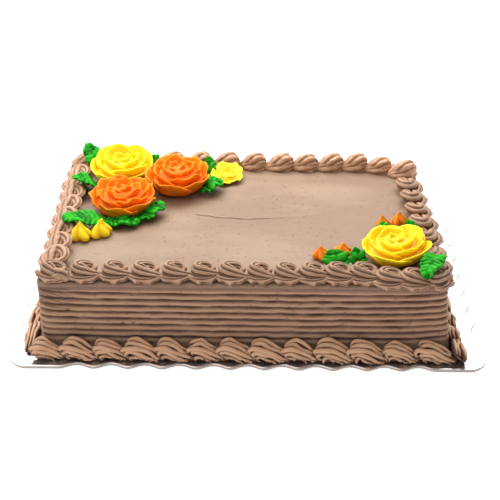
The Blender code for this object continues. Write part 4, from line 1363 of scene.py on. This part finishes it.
def leaf_grid(root, tip, width, arch, crimp, phase):
    """Middle points of a leaf from root to tip and side to side, and its ridge heights."""
    root, tip = np.array(root), np.array(tip)
    along = np.linspace(0, 1, LEAF_GRID[0])[:, None]
    across = np.linspace(-1, 1, LEAF_GRID[1])[None, :]
    away = np.abs(across)
    waves = np.linalg.norm(tip - root) / LEAF_CRIMP_PITCH
    shake = 1.3 * np.sin(5 * along + 3 * phase + across)
    crimps = crimp * np.cos(2 * math.pi * waves * (along - 0.14 * away) + phase + shake)
    ruffle = np.sin(3.6 * math.pi * along + phase + 1.2 * across)
    taper = np.sqrt(np.clip(1 - along ** 2.2, 0.004, 1)) * (0.62 + 0.38 * ease(0, 0.35, along))
    half = LEAF_FULLNESS * width / 2 * taper
    side = half * across * (1 + 0.10 * np.sin(5 * math.pi * along + phase) + 0.08 * crimps)
    run = unit(tip[:2] - root[:2])
    z = (tip[2] - root[2]) * along + arch * np.sin(math.pi * along)
    z = z + RUFFLE_HEIGHT * away * ruffle + CRIMP_HEIGHT * away ** 0.6 * crimps
    z = z + LEAF_CUP * width * (away - 0.5) * (1 - along)
    z = z - MIDRIB_DEPTH * np.exp(-(across / 0.14) ** 2) * (1 - along)
    x = (tip[0] - root[0]) * along - run[1] * side
    y = (tip[1] - root[1]) * along + run[0] * side
    middle = np.stack([x, y, z + CAKE_TOP], axis=-1) + root
    lumps = unevenness(middle, LEAF_LUMP_SIZE, int(1000 * phase))
    middle[..., 2] += LEAF_LUMP_HEIGHT * lumps
    # Painted highlight on the raised ruffles and crimps, and painted shade in the sunk middle.
    crest = 0.62 + 0.20 * ruffle + 0.38 * crimps * away ** 0.5 + 0.12 * lumps
    return middle, np.clip(crest, 0, 1) * (0.7 + 0.3 * ease(-0.1, 0.2, away))


print("points of a leaf before rounding:", 2 * LEAF_GRID[0] * LEAF_GRID[1])

# %% [markdown]
# Each leaf is set by its root and its tip, both measured from the top of the cake. Most of them tuck
# under a flower, and the ones by the border lean over the swirls.

# %% Leaves
LEAVES = [
    # name, root, tip, width, arch, crimp
    ("leaf_back_corner", (-0.1290, 0.0700, 0.0060), (-0.1395, 0.084, 0.0222), 0.0150, 0.002, 0.25),
    ("leaf_left_upper", (-0.1250, 0.0375, 0.0035), (-0.1455, 0.0310, 0.0165), 0.0165, 0.004, 0.7),
    ("leaf_left_lower", (-0.111, -0.0218, 0.004), (-0.145, -0.0338, 0.0145), 0.0200, 0.003, 1.0),
    ("leaf_under_orange", (-0.113, -0.0175, 0.003), (-0.0865, -0.0230, 0.0050), 0.0145, 0.002, 1.0),
    ("leaf_right_of_orange", (-0.0905, -0.0135, 0.003), (-0.0680, 0.0025, 0.0085), 0.0175, 0.002, 0.8),
    ("leaf_between_roses", (-0.081, 0.070, 0.004), (-0.0805, 0.0800, 0.0145), 0.0100, 0.0, 0.6),
    ("leaf_behind_blossom", (-0.0365, 0.066, 0.003), (-0.033, 0.0755, 0.014), 0.0110, 0.001, 0.6),
    ("leaf_right_of_rose", (-0.0415, 0.0370, 0.003), (-0.0220, 0.0435, 0.0070), 0.0200, 0.004, 0.9),
    ("leaf_front_left", (0.0670, -0.0860, 0.0035), (0.0640, -0.0730, 0.0118), 0.0180, 0.001, 1.0),
    ("leaf_front_middle", (0.0828, -0.0822, 0.003), (0.0804, -0.0728, 0.0132), 0.0118, 0.001, 1.0),
    ("leaf_behind_front_rose", (0.104, -0.038, 0.003), (0.1045, -0.0265, 0.010), 0.0090, 0.001, 0.6),
    ("leaf_right_edge", (0.1225, -0.0410, 0.003), (0.1270, -0.0285, 0.0125), 0.0110, 0.001, 0.8),
    ("leaf_front_corner", (0.1400, -0.084, 0.0150), (0.1268, -0.112, 0.0125), 0.0142, 0.002, 1.0),
]
LEAF_SEED = 61


def make_leaves():
    draw = random.Random(LEAF_SEED)
    for name, *form in LEAVES:
        middle, crest = leaf_grid(*form, draw.uniform(0, WHOLE_TURN))
        leaf = Shape()
        leaf.sheet(middle - (0, 0, LEAF_THICKNESS / 2), np.full(crest.shape, LEAF_THICKNESS), crest)
        leaf.make("piped_" + name, GREEN, "green_icing", [name], smooth=1)


make_leaves()

# %% [markdown]
# The cake stands on a plain pale table, which glows a little so that it stays white to the picture's
# edge. The table and the sky are the stage, not part of the cake.

# %% Table and sky
TABLE_SIZE = 6.0
TABLE_GLOW = 0.60
SKY = 0.26
SKY_COLOUR = (0.96, 0.98, 1.0, 1.0)


def make_table():
    half = TABLE_SIZE / 2
    mesh = bpy.data.meshes.new("table")
    corners = [(-half, -half, 0), (half, -half, 0), (half, half, 0), (-half, half, 0)]
    mesh.from_pydata(corners, [], [(0, 1, 2, 3)])
    look = Look(
        "pale table", Roughness=0.9, Base_Color=(0.90, 0.90, 0.90, 1.0),
        Emission_Color=(1.0, 1.0, 1.0, 1.0), Emission_Strength=TABLE_GLOW)
    mesh.materials.append(look.material)
    put("table", mesh)


def make_sky():
    sky = bpy.data.worlds.new("sky")
    sky.use_nodes = True
    background = sky.node_tree.nodes["Background"]
    background.inputs["Color"].default_value = SKY_COLOUR
    background.inputs["Strength"].default_value = SKY
    bpy.context.scene.world = sky


make_table()
make_sky()
print("table: %.0f m wide" % TABLE_SIZE)

# %% [markdown]
# Wide soft lights leave no hard shadow. The one overhead makes the top bright, a long one lifts the
# back of the top behind the roses, a weak one fills the combed front, and a bright backdrop puts a
# soft gleam on the ridges.

# %% Light
LIGHTS = [
    # name, place, target, size, power
    ("overhead", (-0.32, 0.10, 0.85), (0.0, 0.02, 0.06), (1.4, 0.8), 8.5),
    ("above the back", (0.0, 0.28, 0.46), (0.0, 0.07, 0.06), (0.9, 0.3), 4.4),
    ("front", (-0.20, -1.50, 0.60), (0.0, 0.0, 0.04), (2.0, 0.8), 4.9),
    ("white backdrop", (0.0, 1.50, 1.30), (0.0, 0.0, 0.06), (3.6, 1.5), 24.0),
]


def soft_light(name, place, target, size, power):
    data = bpy.data.lights.new(name, "AREA")
    data.shape = "RECTANGLE"
    data.size, data.size_y = size
    data.energy = power
    light = put(name, data)
    light.location = place
    light.rotation_euler = (Vector(target) - Vector(place)).to_track_quat("-Z", "Y").to_euler()


for light_setting in LIGHTS:
    soft_light(*light_setting)
bpy.context.scene.view_settings.view_transform = "Standard"
print("lights:", len(LIGHTS))

# %% [markdown]
